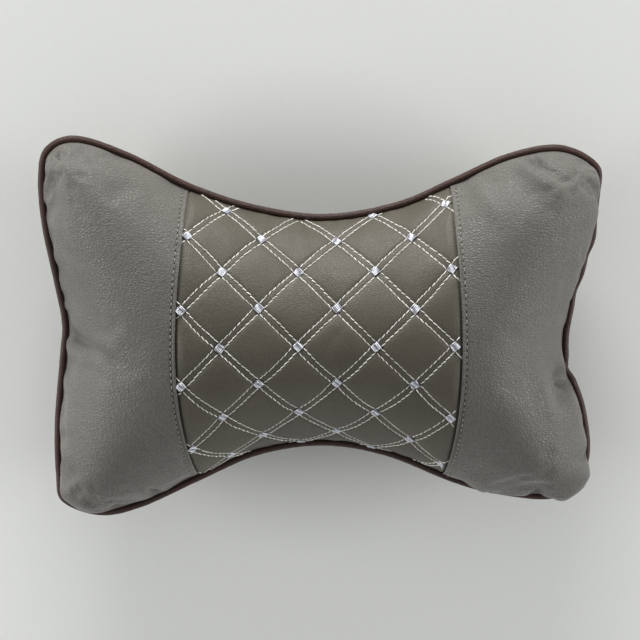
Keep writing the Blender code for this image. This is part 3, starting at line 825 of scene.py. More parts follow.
# Each row is x, y, reach and push. A push below zero holds the cover in.
LOBE_ROWS = (
    # Down the right side, where the stuffing pushes the skin over the piping.
    (133.0, 86.0, 6.0, 1.0), (138.5, 79.0, 6.0, 2.0), (137.0, 71.0, 8.0, 3.4), (137.5, 57.0, 7.0, 3.6),
    (134.5, 44.0, 7.0, 2.0), (132.5, 35.0, 7.0, 4.2), (128.5, 19.0, 8.0, 5.0), (124.0, 0.0, 10.0, 0.6),
    (122.0, -19.5, 4.0, 3.2), (129.5, -43.0, 12.0, 3.0), (134.0, -59.0, 8.0, 3.2), (133.0, -75.0, 9.0, 8.6),
    (127.0, -85.0, 6.0, 1.4),
    # Along the bottom.
    (120.0, -89.0, 8.0, 8.2), (92.0, -85.5, 13.0, 2.2), (75.0, -82.0, 11.0, 2.6), (-30.0, -67.0, 22.0, -1.0),
    (-90.0, -92.0, 15.0, -1.5), (-118.0, -94.0, 9.0, 4.0),
    # Up the left side.
    (-132.0, -81.0, 8.0, 4.6), (-131.0, -66.0, 8.0, 2.8), (-131.5, -48.0, 12.0, 1.4), (-129.0, 3.0, 18.0, -1.5),
    (-138.5, 68.0, 13.0, -2.2),
)
LOBES = tuple(Lobe(*row) for row in LOBE_ROWS)


@dataclass
class CoverDrape:
    """A cloth simulation of the stuffed cover, sewn fast along the piping.

    Leatherette is cut a little fuller than the seam that holds it, so the pressure of the filling lays it
    in soft waves beside the piping. Only these waves are used. The form itself stays as it is.
    """

    form: PillowForm
    sides: int = 18
    middles: int = 34
    lines: int = 50
    frames: int = 20
    side_fullness: float = 0.08
    center_fullness: float = 0.02
    pressure: float = 4.0
    cap: float = 0.0050
    smoothings: int = 14
    swelling: float = 0.85

    def __post_init__(self) -> None:
        """Lays the simulation's grid, with no waves yet."""
        self.up = rows(self.lines, 0.5)
        self.plan, self.knots = self.form.whole_plan(self.sides, self.middles, self.up)
        self.moves = {face: np.zeros((*self.plan.shape[:2], 3)) for face in Face}

    def run(self) -> None:
        """Inflates the cover and keeps how far each point moved."""
        front, back = (self.form.lift(self.plan, face)[0] for face in Face)
        count_i, count_j = front.shape[:2]
        number = np.arange(count_i * count_j).reshape(count_i, count_j)
        behind = number.copy()
        inner = np.s_[1:-1, 1:-1]
        behind[inner] = count_i * count_j + np.arange((count_i - 2) * (count_j - 2)).reshape(count_i - 2, -1)
        back_faces = behind.ravel()[grid_faces(count_i, count_j, True)]
        faces = np.vstack([grid_faces(count_i, count_j, False), back_faces])
        start = np.vstack([front.reshape(-1, 3), back[inner].reshape(-1, 3)])
        cover = new_mesh("draped_cover", start, faces)
        border = np.setdiff1d(number, number[inner])
        cover.vertex_groups.new(name="seam").add(border.tolist(), 1.0, "REPLACE")
        full = np.concatenate([number[: self.sides].ravel(), number[-self.sides :].ravel()])
        cover.vertex_groups.new(name="full").add(full.tolist(), 1.0, "REPLACE")
        end = self.simulate(cover) - start
        bpy.data.objects.remove(cover)
        size = np.linalg.norm(end, axis=1)[:, None]
        end *= self.cap * np.tanh(size / self.cap) / np.maximum(size, 1e-9)
        self.moves[Face.FRONT] = self.waves(end[number])
        self.moves[Face.BACK] = self.waves(end[behind])

    def simulate(self, cover: Object) -> Array:
        """Runs the cloth on the cover's mesh.

        Args:
            cover: The closed mesh, with its groups for the seam and for the fuller panels.

        Returns:
            Where its vertices end.
        """
        cloth = cover.modifiers.new("Leatherette", "CLOTH")
        settings = cloth.settings
        settings.quality = 8
        settings.mass = 0.2
        settings.tension_stiffness = settings.compression_stiffness = 25
        settings.shear_stiffness = 12
        settings.bending_stiffness = 1.2
        settings.air_damping = 2
        settings.vertex_group_mass, settings.vertex_group_shrink = "seam", "full"
        settings.shrink_min, settings.shrink_max = -self.center_fullness, -self.side_fullness
        settings.use_pressure = True
        settings.uniform_pressure_force = self.pressure
        settings.effector_weights.gravity = 0
        cloth.point_cache.frame_start, cloth.point_cache.frame_end = 1, self.frames
        scene = bpy.context.scene
        for number in range(1, self.frames + 1):
            scene.frame_set(number)
        shape = cover.evaluated_get(bpy.context.evaluated_depsgraph_get()).to_mesh()
        place = np.empty(len(shape.vertices) * 3)
        shape.vertices.foreach_get("co", place)
        scene.frame_set(1)
        return place.reshape(-1, 3)

    def waves(self, move: Array) -> Array:
        """The move without its broad swelling, which the form has already.

        Args:
            move: How far each point moved.

        Returns:
            The waves alone, none at the edges of the grid.
        """
        broad = move
        for axis in (0, 1):
            for _ in range(self.smoothings):
                inner = np.swapaxes(broad, 0, axis)
                padded = np.concatenate([inner[:1], inner, inner[-1:]])
                inner = (padded[:-2] + 2 * padded[1:-1] + padded[2:]) / 4
                broad = np.swapaxes(inner, 0, axis)
        waves = move - self.swelling * broad
        waves[[0, -1]] = 0
        waves[:, [0, -1]] = 0
        return waves

    def carried(self, face: Face, panel: int, places: Array, up: Array) -> Array:
        """The waves on a finer grid of one panel.

        Args:
            face: The face of the cover.
            panel: 0 for the left, 1 for the middle and 2 for the right panel.
            places: Its lines across, from 0 to 1 on a side panel, or from -1 to 1 on the middle one.
            up: Its lines from the bottom rim to the top rim.

        Returns:
            How far each point of the finer grid moves.
        """
        first, knots = (0, self.sides, self.sides + self.middles)[panel], self.knots[panel]
        part = self.moves[face][first : first + len(knots)]
        part = part[::-1] if panel == 2 else part
        return np.einsum("ai,ijc,bj->abc", spline_weights(knots, places), part, spline_weights(self.up, up))


@dataclass
class CoverRelief:
    """The dents, ridges and overhangs of the cover, worked out from the photographed places."""

    form: PillowForm
    seam_hold: float = 0.0025
    overhang: float = 0.0045
    spread: float = 0.0004
    gather: float = 0.0010
    gather_reach: float = 0.009

    def apply(self, points: Array, distance: Array, face: Face, strength: float = 1.0) -> Array:
        """Moves a gridded surface.

        Args:
            points: The surface.
            distance: Its distance from the rim.
            face: Which face of the cover it is.
            strength: Share of the gathers.

        Returns:
            The moved surface.
        """
        x, y = points[..., 0] / MM, points[..., 1] / MM
        rise = self.gathers(points, distance) * strength
        push = self.spread * np.ones_like(x)
        if face is Face.FRONT:
            rise = rise + sum(pucker.at(x, y) for pucker in PUCKERS)
            push = push + sum(lobe.at(x, y) for lobe in LOBES)
        hold = smooth_step(distance / self.seam_hold)
        profile = distance / self.overhang * np.exp(1 - distance / self.overhang)
        moved = points + grid_normals(points, face) * (rise * hold)[..., None]
        moved[..., :2] += self.outward(points[..., 0], points[..., 1]) * (push * profile)[..., None]
        return moved

    def outward(self, x: Array, y: Array) -> Array:
        """Level direction from each place to the nearest edge of the cover."""
        step, far = 0.0004, self.form.edge_distance
        return -unit(np.dstack([far(x + step, y) - far(x - step, y), far(x, y + step) - far(x, y - step)]))

    def gathers(self, points: Array, distance: Array) -> Array:
        """Small uneven gathers that run in from the piping and soon fade.

        Args:
            points: The surface.
            distance: Its distance from the rim.

        Returns:
            The rise at each point.
        """
        draw = np.random.default_rng(SEED)
        rise = np.zeros(points.shape[:2])
        around = np.arctan2(points[..., 1] * 1.3, points[..., 0])
        for count in (17, 23, 31, 41, 53):
            phase, lean = draw.uniform(0, 2 * math.pi), draw.uniform(-40, 40)
            rise += np.sin(count * around + phase + lean * distance) / math.sqrt(count)
        return self.gather * rise * np.exp(-distance / self.gather_reach)


def dress(piece: Object, node: str, finishes: Sequence[Finish]) -> None:
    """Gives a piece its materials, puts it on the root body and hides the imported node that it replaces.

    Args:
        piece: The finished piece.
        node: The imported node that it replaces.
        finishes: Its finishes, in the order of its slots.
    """
    piece.data.materials.clear()
    for finish in finishes:
        piece.data.materials.append(bpy.data.materials.get(finish.name) or finish.build())
    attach(piece, "root")
    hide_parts(node)
    log.info("%s: %d vertices", piece.name, len(piece.data.vertices))


def wall(piece: Object, thickness: float) -> None:
    """Gives an open skin its thickness, inward, and applies it."""
    select_only(piece)
    made = piece.modifiers.new("Thickness", "SOLIDIFY")
    made.thickness, made.offset, made.use_even_offset = thickness, -1, False
    bpy.ops.object.modifier_apply(modifier=made.name)


@dataclass
class Skin:
    """A gridded skin with what is needed to sew on it."""

    points: Array
    normals: Array

    @classmethod
    def of(cls, points: Array) -> "Skin":
        """The skin of a gridded surface of the front."""
        return cls(points, grid_normals(points, Face.FRONT))

    def at(self, i: Array, j: Array) -> tuple[Array, Array]:
        """Points and normals at fractional grid indices.

        Args:
            i: Indices along the grid's first axis.
            j: Indices along its second.

        Returns:
            One point and one normal for each pair.
        """
        i0, j0 = (np.clip(np.floor(k).astype(int), 0, n - 2) for k, n in zip((i, j), self.points.shape))
        fi, fj = (i - i0)[:, None], (j - j0)[:, None]
        both = []
        for grid in (self.points, self.normals):
            low = grid[i0, j0] * (1 - fj) + grid[i0, j0 + 1] * fj
            high = grid[i0 + 1, j0] * (1 - fj) + grid[i0 + 1, j0 + 1] * fj
            both.append(low * (1 - fi) + high * fi)
        return both[0], unit(both[1])


@dataclass
class Panel:
    """A panel of the cover: one gridded skin with its wall."""

    form: PillowForm
    relief: CoverRelief
    drape: CoverDrape

    def sew(self, name: str, points: Array, face: Face, thickness: float) -> Object:
        """Makes the panel's skin from its outer surface, with a wall inward."""
        piece = new_mesh(name, points.reshape(-1, 3), grid_faces(*points.shape[:2], face is Face.BACK))
        wall(piece, thickness)
        return piece


@dataclass
class QuiltedPanel(Panel):
    """The middle panel: leatherette on wadding, sewn down along double rows on both diagonals."""

    columns: int = 184
    lines: int = 236
    pitch: float = 0.0193
    shift: float = -0.0008
    raise_by: float = 0.0118
    row_spacing: float = 0.0033
    puff: float = 0.0011
    groove: float = 0.00035
    groove_width: float = 0.0006
    crossing_dip: float = 0.0004
    crossing_reach: float = 0.0045
    rim_fade: float = 0.008
    seam_fade: float = 0.0050
    wave_share: float = 0.3
    gather_share: float = 0.5
    under_lip: float = 0.022
    tuck_under: float = 0.0013
    tuck_reach: float = 0.0014
    stitch_inset: float = 0.0014
    wall: float = 0.0006

    def build(self) -> None:
        """Makes the panel."""
        limit = 1 + self.under_lip
        self.across = np.linspace(-limit, limit, self.columns + 1)
        self.up = rows(self.lines, 0.35)
        plan, self.low, self.high = self.form.center_plan(self.across, self.up)
        points, distance = self.form.lift(plan, Face.FRONT)
        waves = self.drape.carried(Face.FRONT, 1, np.clip(self.across, -1, 1), self.up)
        points = self.relief.apply(points + self.wave_share * waves, distance, Face.FRONT, self.gather_share)
        cloth_x = (self.across * self.form.half_width - self.shift)[:, None]
        cloth_y = self.low[:, None] + self.up * (self.high - self.low)[:, None] - self.raise_by
        seam = (1 - np.abs(self.across)) * self.form.half_width
        rise = self.quilting(cloth_x, cloth_y) * smooth_step(distance / self.rim_fade)
        rise = rise * smooth_step(seam / self.seam_fade)[:, None]
        points = raised(points, rise - self.tuck_under * (1 - smooth_step(seam / self.tuck_reach))[:, None])
        self.skin = Skin.of(points)
        piece = self.sew("quilted_center_skin", points, Face.FRONT, self.wall)
        dress(piece, "quilted_center_panel", [QUILTED])

    def quilting(self, x: Array, y: Array) -> Array:
        """Rise of the wadding between the rows of stitches.

        Args:
            x: Place on the cloth across the quilting, from its middle.
            y: Place along it.

        Returns:
            The rise in meters: low at the rows, full in the diamonds.
        """
        p, q = x / self.pitch - 0.5, y / self.pitch - 0.5
        diagonal = self.pitch / math.sqrt(2)
        offs = [np.abs(np.mod(v + 1, 2) - 1) * diagonal for v in (q - p, q + p)]
        half, inner = self.row_spacing / 2, diagonal - self.row_spacing / 2
        domes = [np.sin(math.pi / 2 * np.clip((off - half) / inner, 0, 1)) for off in offs]
        rise = self.puff * (domes[0] * domes[1]) ** 0.5
        for off, other in zip(offs, offs[::-1]):
            rise = rise - self.groove * bell(off - half, self.groove_width)
            rise = rise - self.crossing_dip * bell(off, self.crossing_reach) * bell(other, self.crossing_reach)
        return rise

    def sewn(self, x: Array, y: Array) -> tuple[Array, Array, Array]:
        """Finds places of the cloth on the finished skin.

        Args:
            x: Places across the quilting, from its middle.
            y: Places along the cloth.

        Returns:
            Points, normals, and whether each place is inside the panel.
        """
        across = (x + self.shift) / self.form.half_width
        i = np.interp(across, self.across, np.arange(len(self.across)))
        low, high = (np.interp(across, self.across, edge) for edge in (self.low, self.high))
        up = (y + self.raise_by - low) / (high - low)
        j = np.interp(up, self.up, np.arange(len(self.up)))
        points, normals = self.skin.at(i, j)
        inset = self.stitch_inset
        inside = (np.abs(across) < 1 - inset / 3 / self.form.half_width) & (up * (high - low) > inset)
        return points, normals, inside & ((1 - up) * (high - low) > inset)


# Distances from the seam, in millimeters, of the side panels' lines that shape the folded edge.
NEAR_SEAM = (5.2, 4.2, 3.5, 3.0, 2.6, 2.3, 2.05, 1.8, 1.5, 1.2, 0.9, 0.6, 0.4, 0.22, 0.1, 0.0)


@dataclass
class SidePanel(Panel):
    """A plain side panel, folded over the middle panel at the seam and topstitched there."""

    side: Side
    columns: int = 64
    lines: int = 230
    usual_width: float = 0.066
    line_gap: float = 0.006
    rim_fade: float = 0.004
    lip: float = 0.0019
    lip_round: float = 0.0009
    lip_rise: float = 0.0005
    lap_loss: float = 0.65
    lap_flat: float = 0.004
    lap_fade: float = 0.016
    stitch_dip: float = 0.0005
    dip_width: float = 0.0007
    wall: float = 0.0007
    wave_share: float = 0.7
    stitch_pitch: float = 0.0032

    def build(self) -> None:
        """Makes the panel."""
        near_seam = 1 - np.array(NEAR_SEAM) * MM / self.usual_width
        broad = (np.arange(self.columns + 1) / self.columns) ** 1.45
        self.share = np.concatenate([broad[broad < near_seam[0] - self.line_gap], near_seam])
        self.up = rows(self.lines, 0.5)
        plan = self.form.side_plan(self.side, self.share, self.up)
        points, distance = self.form.lift(plan, Face.FRONT)
        panel, step = (0, 1) if self.side is Side.LEFT else (2, -1)
        points = points + self.wave_share * self.drape.carried(Face.FRONT, panel, self.share, self.up)
        points = self.relief.apply(points[::step], distance[::step], Face.FRONT)
        seam = np.linalg.norm(plan - plan[-1:], axis=2)[::step]
        points = raised(points, self.lap(seam) * smooth_step(distance[::step] / self.rim_fade))
        self.skin = Skin.of(points)
        piece = self.sew(f"{self.side.value}_side_skin", points, Face.FRONT, self.wall)
        dress(piece, f"{self.side.value}_side_panel", [TAUPE])

    def lap(self, seam: Array) -> Array:
        """Rise of the folded edge, at a distance from the seam.

        Args:
            seam: Distance from the seam.

        Returns:
            The rise: rounded at the edge, fading inward, with a dip under the stitches.
        """
        edge = np.sqrt(1 - (1 - np.clip(seam / self.lip_round, 0, 1)) ** 2)
        fade = 1 - self.lap_loss * smooth_step((seam - self.lap_flat) / self.lap_fade)
        return self.lip_rise * edge * fade - self.stitch_dip * bell(seam - self.lip, self.dip_width)

    def stitch_line(self) -> tuple[Array, Array]:
        """Points and normals along the topstitching, closely spaced.

        Returns:
            The points, and the normals at them.
        """
        index = np.interp(1 - self.lip / self.usual_width, self.share, np.arange(len(self.share)))
        if self.side is Side.RIGHT:
            index = len(self.share) - 1 - index
        j = np.linspace(0, len(self.up) - 1, 900)
        return self.skin.at(np.full(len(j), index), j)


@dataclass
class BackPanel(Panel):
    """The one-piece back, flattened where the pillow rests."""

    sides: int = 44
    middles: int = 70
    lines: int = 120
    wall: float = 0.0008
    gather_share: float = 1.2
    calm_from: float = 0.024
    calm_over: float = 0.012

    def build(self) -> None:
        """Makes the panel."""
        up = rows(self.lines, 0.5)
        plan, places = self.form.whole_plan(self.sides, self.middles, up)
        points, distance = self.form.lift(plan, Face.BACK)
        parts = [self.drape.carried(Face.BACK, k, places[k], up) for k in range(3)]
        moves = np.concatenate([parts[0][:-1], parts[1], parts[2][::-1][1:]])
        # The waves calm down toward the flattened back, which lies taut.
        flat = smooth_step((self.form.seam_height - points[..., 2] - self.calm_from) / self.calm_over)
        points = points + moves * (1 - flat)[..., None]
        points = self.relief.apply(points, distance, Face.BACK, self.gather_share)
        points[..., 2] = np.maximum(points[..., 2], self.form.seam_height - self.form.back_depth)
        self.points = points
        piece = self.sew("back_skin", points, Face.BACK, self.wall)
        dress(piece, "back_panel", [TAUPE])


@dataclass
class Filling:
    """The fiber filling, a little smaller than the cover."""

    form: PillowForm
    sides: int = 12
    middles: int = 24
    lines: int = 34
    inset: float = 0.011
    taper: float = 0.009
    half_size: tuple[float, float] = (0.13, 0.085)

    def build(self) -> None:
        """Makes the filling as one closed body."""
        plan = self.form.whole_plan(self.sides, self.middles, rows(self.lines, 0.4))[0]
        plan = plan * (1 - self.inset / np.array(self.half_size))
        sheets = []
        for face in Face:
            points, distance = self.form.lift(plan, face)
            points[..., 2] -= face.value * self.inset * smooth_step(distance / self.taper)
            points[[0, -1], :, 2] = self.form.seam_height
            points[:, [0, -1], 2] = self.form.seam_height
            sheets.append(points.reshape(-1, 3))
        size = plan.shape[:2]
        faces = np.vstack([grid_faces(*size, False), grid_faces(*size, True) + len(sheets[0])])
        piece = new_mesh("fiber_stuffing", np.vstack(sheets), faces)
        edit_all(piece, bpy.ops.mesh.remove_doubles, threshold=1e-6)
        dress(piece, "fiber_filling", [FIBER])


@dataclass(frozen=True)
class Sink:
    """A stretch where the piping is drawn in and down by the cover, in millimeters."""

    x: float
    y: float
    reach: float
    inward: float
    down: float


# Each row is x, y, reach, inward and down.
SINK_ROWS = (
    (139.5, 66.0, 9.0, 1.2, 1.2), (138.5, 55.0, 8.0, 1.2, 1.2), (133.0, 36.0, 6.0, 1.0, 1.0),
    (127.5, 18.0, 6.0, 0.8, 1.0), (123.5, -21.0, 4.5, 1.8, 1.2), (134.0, -76.0, 9.0, 0.8, 1.4),
    (122.0, -88.0, 8.0, 0.3, 1.2), (92.0, -89.0, 14.0, 0.6, 0.8),
)
SINKS = tuple(Sink(*row) for row in SINK_ROWS)


@dataclass
class Piping:
    """The round piping: brown leatherette sewn over a cord, in the seam all round."""

    form: PillowForm
    step: float = 0.0012
    unevenness: float = 0.035

    def build(self) -> None:
        """Makes the piping from a curve with a round bevel, slightly uneven along its length."""
        line = self.path()
        curve = bpy.data.curves.new("piping_curve", "CURVE")
        curve.dimensions = "3D"
        curve.bevel_depth, curve.bevel_resolution = self.form.piping_radius, 3
        spline = curve.splines.new("POLY")
        spline.points.add(len(line) - 1)
        draw = np.random.default_rng(SEED + 1)
        around = np.arange(len(line)) / len(line) * 2 * math.pi
        swell = sum(np.sin(n * around + draw.uniform(0, 6.3)) for n in (61, 89, 134, 180)) / 4
        for point, place, size in zip(spline.points, line, swell):
            point.co = (*place, 1)
            point.radius = 1 + self.unevenness * size
        spline.use_cyclic_u = spline.use_smooth = True
        select_only(place_in_scene("piping_cord", curve))
        bpy.ops.object.convert(target="MESH")
        piece = active()
        piece.data.shade_smooth()
        dress(piece, "piping", [BROWN])

    def path(self) -> Array:
        """The cord's middle line, drawn in and down where the cover bulges over it.

        Returns:
            Its points, evenly spaced.
        """
        line, inward = (np.vstack([loop, loop[:1]]) for loop in (self.form.piping_line, self.form.inward))
        run = run_of(line)
        places = np.arange(0, run[-1] - self.step / 2, self.step)
        flat, inside = read_off(places, run, line), read_off(places, run, inward)
        z = np.full(len(flat), self.form.seam_height)
        shift = np.zeros(len(flat))
        for sink in SINKS:
            near = bell(np.hypot(flat[:, 0] / MM - sink.x, flat[:, 1] / MM - sink.y), sink.reach)
            shift += near * sink.inward * MM
            z -= near * sink.down * MM
        return np.column_stack([flat + inside * shift[:, None], z])


@dataclass(frozen=True)
class Model:
    """A small model in millimeters, of which copies are laid on the cover."""

    vertices: Array
    faces: list[list[int]]


@dataclass
class StitchMaker:
    """Models one stitch, one satin knot and one needle hole.

    Its shares say where a strand starts to dive, where its tip starts, how narrow and how flat the tip is,
    and how far it rides up.
    """

    dive: float = 0.28
    tip: float = 0.45
    tip_width: float = 0.55
    tip_height: float = 0.5
    seat: float = 0.3

    def finished(self) -> Model:
        """Reads the active object as a model, and removes it.

        Returns:
            The model.
        """
        piece = active()
        faces = [list(face.vertices) for face in piece.data.polygons]
        model = Model(np.array([v.co[:] for v in piece.data.vertices]), faces)
        bpy.data.objects.remove(piece)
        return model

    def strand(self, length: float, width: float, height: float, sag: float) -> Model:
        """Models a length of thread that dives into the cover at both ends.

        Args:
            length: Its length along X.
            width: Its width.
            height: Its height over its feet.
            sag: How far its ends dive.

        Returns:
            The model, lying on the XY plane.
        """
        deselect()
        bpy.ops.mesh.primitive_cylinder_add(vertices=6, radius=0.5, depth=length, rotation=(0, math.pi / 2, 0))
        piece = active()
        bpy.ops.object.transform_apply(location=True, rotation=True, scale=True)
        for cut in (-self.dive * length, self.dive * length):
            edit_all(piece, bpy.ops.mesh.bisect, plane_co=(cut, 0, 0), plane_no=(1, 0, 0))
        edit_all(piece, bpy.ops.transform.resize, value=(1, width, height))
        for vertex in piece.data.vertices:
            if abs(vertex.co.x) > self.tip * length:
                vertex.co.y *= self.tip_width
                vertex.co.z = vertex.co.z * self.tip_height - sag
            vertex.co.z += height * self.seat
        return self.finished()

    def knot(self, side: float, count: int = 5) -> Model:
        """Models a satin knot: strands side by side, with a bar over each end.

        Args:
            side: The length of its sides.
            count: How many strands it has.

        Returns:
            The model, with its sides along X and Y.
        """
        draw = np.random.default_rng(SEED + 2)
        parts: list[tuple[Array, list[list[int]]]] = []
        for number in range(count):
            strand = self.strand(side * draw.uniform(0.92, 1.06), side / count * 0.88, 0.9, 0.5)
            lane = (number + 0.5) / count * side - side / 2
            offset = np.array([draw.uniform(-0.15, 0.15), lane, 0.15 + draw.uniform(0, 0.15)])
            parts.append((strand.vertices + offset, strand.faces))
        for end in (-1, 1):
            strand = self.strand(side * 0.85, 0.65, 0.7, 0.6)
            across = strand.vertices[:, [1, 0, 2]] * np.array([-1, 1, 1])
            parts.append((across + np.array([end * side * 0.33, 0, 0.42]), strand.faces))
        firsts = np.cumsum([0] + [len(vertices) for vertices, _ in parts]).tolist()
        faces = [[v + first for v in face] for first, part in zip(firsts, parts) for face in part[1]]
        return Model(np.vstack([vertices for vertices, _ in parts]), faces)

    def hole(self, radius: float) -> Model:
        """Models the mouth of a needle hole as a low round lens, painted dark as the hole's shade.

        Args:
            radius: Its radius before it is stretched.

        Returns:
            The model.
        """
        deselect()
        bpy.ops.mesh.primitive_uv_sphere_add(segments=8, ring_count=4, radius=radius)
        bpy.ops.transform.resize(value=(1.25, 1, 0.28))
        bpy.ops.object.transform_apply(location=True, rotation=True, scale=True)
        return self.finished()


@dataclass
class StitchBatch:
    """Copies of the small models, gathered into one piece."""

    vertices: list[Array] = field(default_factory=list)
    faces: list[list[int]] = field(default_factory=list)
    slots: list[int] = field(default_factory=list)
    count: int = 0

    def lay(
        self, model: Model, places: Array, along: Array, normals: Array, slot: int, stretch: float | Array = 1.0
    ) -> None:
        """Lays a copy at each place.

        Args:
            model: The small model.
            places: Where its middle goes.
            along: Where its X goes.
            normals: Where its Z goes.
            slot: Its material's number.
            stretch: How much longer each copy is than the model.
        """
        along = unit(along - normals * np.sum(along * normals, 1)[:, None])
        over = np.cross(normals, along)
        stretch = np.broadcast_to(stretch, len(places))
        for place, x_axis, y_axis, z_axis, longer in zip(places, along, over, normals, stretch):
            local = model.vertices * np.array([longer, 1, 1]) * MM
            self.vertices.append(place + local @ np.stack([x_axis, y_axis, z_axis]))
            self.faces += [[v + self.count for v in face] for face in model.faces]
            self.slots += [slot] * len(model.faces)
            self.count += len(model.vertices)

    def finished(self, name: str, slot: str, node: str, finishes: Sequence[Finish]) -> None:
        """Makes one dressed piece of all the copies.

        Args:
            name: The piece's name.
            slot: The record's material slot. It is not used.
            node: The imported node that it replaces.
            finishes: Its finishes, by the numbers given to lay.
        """
        piece = new_mesh(name, np.vstack(self.vertices), self.faces)
        dress(piece, node, finishes)
        piece.data.polygons.foreach_set("material_index", self.slots)
        piece.data.update()


@dataclass
class Embroidery:
    """The white quilting thread: double rows of stitches with a satin knot at each crossing."""

    panel: QuiltedPanel
    maker: StitchMaker
    stitch_pitch: float = 0.0030
    dash: float = 2.85
    knot_side: float = 4.3
    knot_wobble: float = 0.15
    hole_offset: tuple[float, float] = (3.1, -0.2)
    slant: float = 7.0
    reach: int = 7

    def build(self) -> None:
        """Makes the embroidery."""
        self.draw = np.random.default_rng(SEED + 3)
        self.batch = StitchBatch()
        self.stitch = self.maker.strand(self.dash, 0.52, 0.5, 0.2)
        self.satin = self.maker.knot(self.knot_side)
        self.hole = self.maker.hole(0.5)
        for c in range(-self.reach, self.reach):
            for r in range(-self.reach, self.reach):
                if (c + r) % 2 == 0:
                    self.add_knot(c, r)
                    for step in (1, -1):
                        self.add_rows(c, r, step)
        finishes = [WHITE_THREAD, SATIN_THREAD, HOLE_SHADE]
        self.batch.finished("quilt_embroidery", "white_thread", "quilt_stitching", finishes)

    def place(self, c: float, r: float) -> Array:
        """Where a crossing is on the cloth."""
        return np.array([(c + 0.5) * self.panel.pitch, (r + 0.5) * self.panel.pitch])

    def add_knot(self, c: int, r: int) -> None:
        """Sews a knot, with the hole that its last stitch leaves.

        Args:
            c: Column of the crossing.
            r: Row of the crossing.
        """
        middle = self.place(c, r)
        wobble = self.draw.normal(0, self.knot_wobble * MM, 2)
        turn = math.radians(45 + self.draw.normal(0, 5)) + (math.pi / 2 if self.draw.random() < 0.5 else 0)
        points, normals, inside = self.panel.sewn(*(middle + wobble)[:, None])
        if not inside[0]:
            return
        ahead = middle + wobble + 0.5 * MM * np.array([math.cos(turn), math.sin(turn)])
        along = self.panel.sewn(*ahead[:, None])[0] - points
        self.batch.lay(self.satin, points, along, normals, 1)
        beside = middle + np.array(self.hole_offset) * MM
        hole, up, fits = self.panel.sewn(*beside[:, None])
        if fits[0]:
            # The hole is a dark lens: painted shade where the needle went in.
            self.batch.lay(self.hole, hole, along, up, 2)

    def add_rows(self, c: int, r: int, step: int) -> None:
        """Sews the two rows from a crossing to the next one above it.

        Args:
            c: Column of the crossing.
            r: Row of the crossing.
            step: 1 for the next crossing to the right, -1 to the left.
        """
        start, end = self.place(c, r), self.place(c + step, r + 1)
        length = float(np.linalg.norm(end - start))
        way = (end - start) / length
        over = np.array([-way[1], way[0]])
        gap = self.knot_side * MM / 2
        count = round((length - 2 * gap) / self.stitch_pitch)
        pitch = (length - 2 * gap) / count
        for side in (-1, 1):
            phase, swing = self.draw.uniform(0, 6.3), self.draw.uniform(0.1, 0.28) * MM
            run = gap + (np.arange(count) + 0.5) * pitch
            run = run + self.draw.normal(0, 0.1 * MM, count)
            sway = swing * np.sin(run / length * 2 * math.pi + phase) + self.draw.normal(0, 0.05 * MM, count)
            slant = math.radians(self.slant) * side * step + self.draw.normal(0, 0.03, count)
            off = side * self.panel.row_spacing / 2 + sway
            middle = start + run[:, None] * way + off[:, None] * over
            heading = np.cos(slant)[:, None] * way + np.sin(slant)[:, None] * over
            points, normals, inside = self.panel.sewn(*middle.T)
            ahead = self.panel.sewn(*(middle + 0.4 * MM * heading).T)[0]
            longer = self.draw.uniform(0.9, 1.08, count)
            if inside.any():
                kept = (grid[inside] for grid in (points, ahead - points, normals))
                self.batch.lay(self.stitch, *kept, 0, longer[inside])


@dataclass
class Topstitching:
    """One row of stitches along a side panel's folded edge, with the needle holes between them."""

    panel: SidePanel
    maker: StitchMaker
    dash: float = 2.2
    margin: float = 0.003

    def build(self) -> None:
        """Makes the row."""
        draw = np.random.default_rng(SEED + 4)
        stitch, hole = self.maker.strand(self.dash, 0.55, 0.45, 0.3), self.maker.hole(0.42)
        points, normals = self.panel.stitch_line()
        run, pitch = run_of(points), self.panel.stitch_pitch
        places = np.arange(self.margin, run[-1] - self.margin, pitch)
        places = places + draw.normal(0, 0.08 * MM, len(places))
        batch = StitchBatch()
        # Each hole is a dark lens: painted shade between the stitches.
        for model, at, slot in ((stitch, places, 0), (hole, places + pitch / 2, 1)):
            middle, ahead = read_off(at, run, points), read_off(at + 0.3 * MM, run, points)
            batch.lay(model, middle, ahead - middle, read_off(at, run, normals), slot)
        side = self.panel.side.value
        batch.finished(f"{side}_lip_stitches", "grey_thread", f"{side}_topstitching", [GRAY_THREAD, HOLE_SHADE])


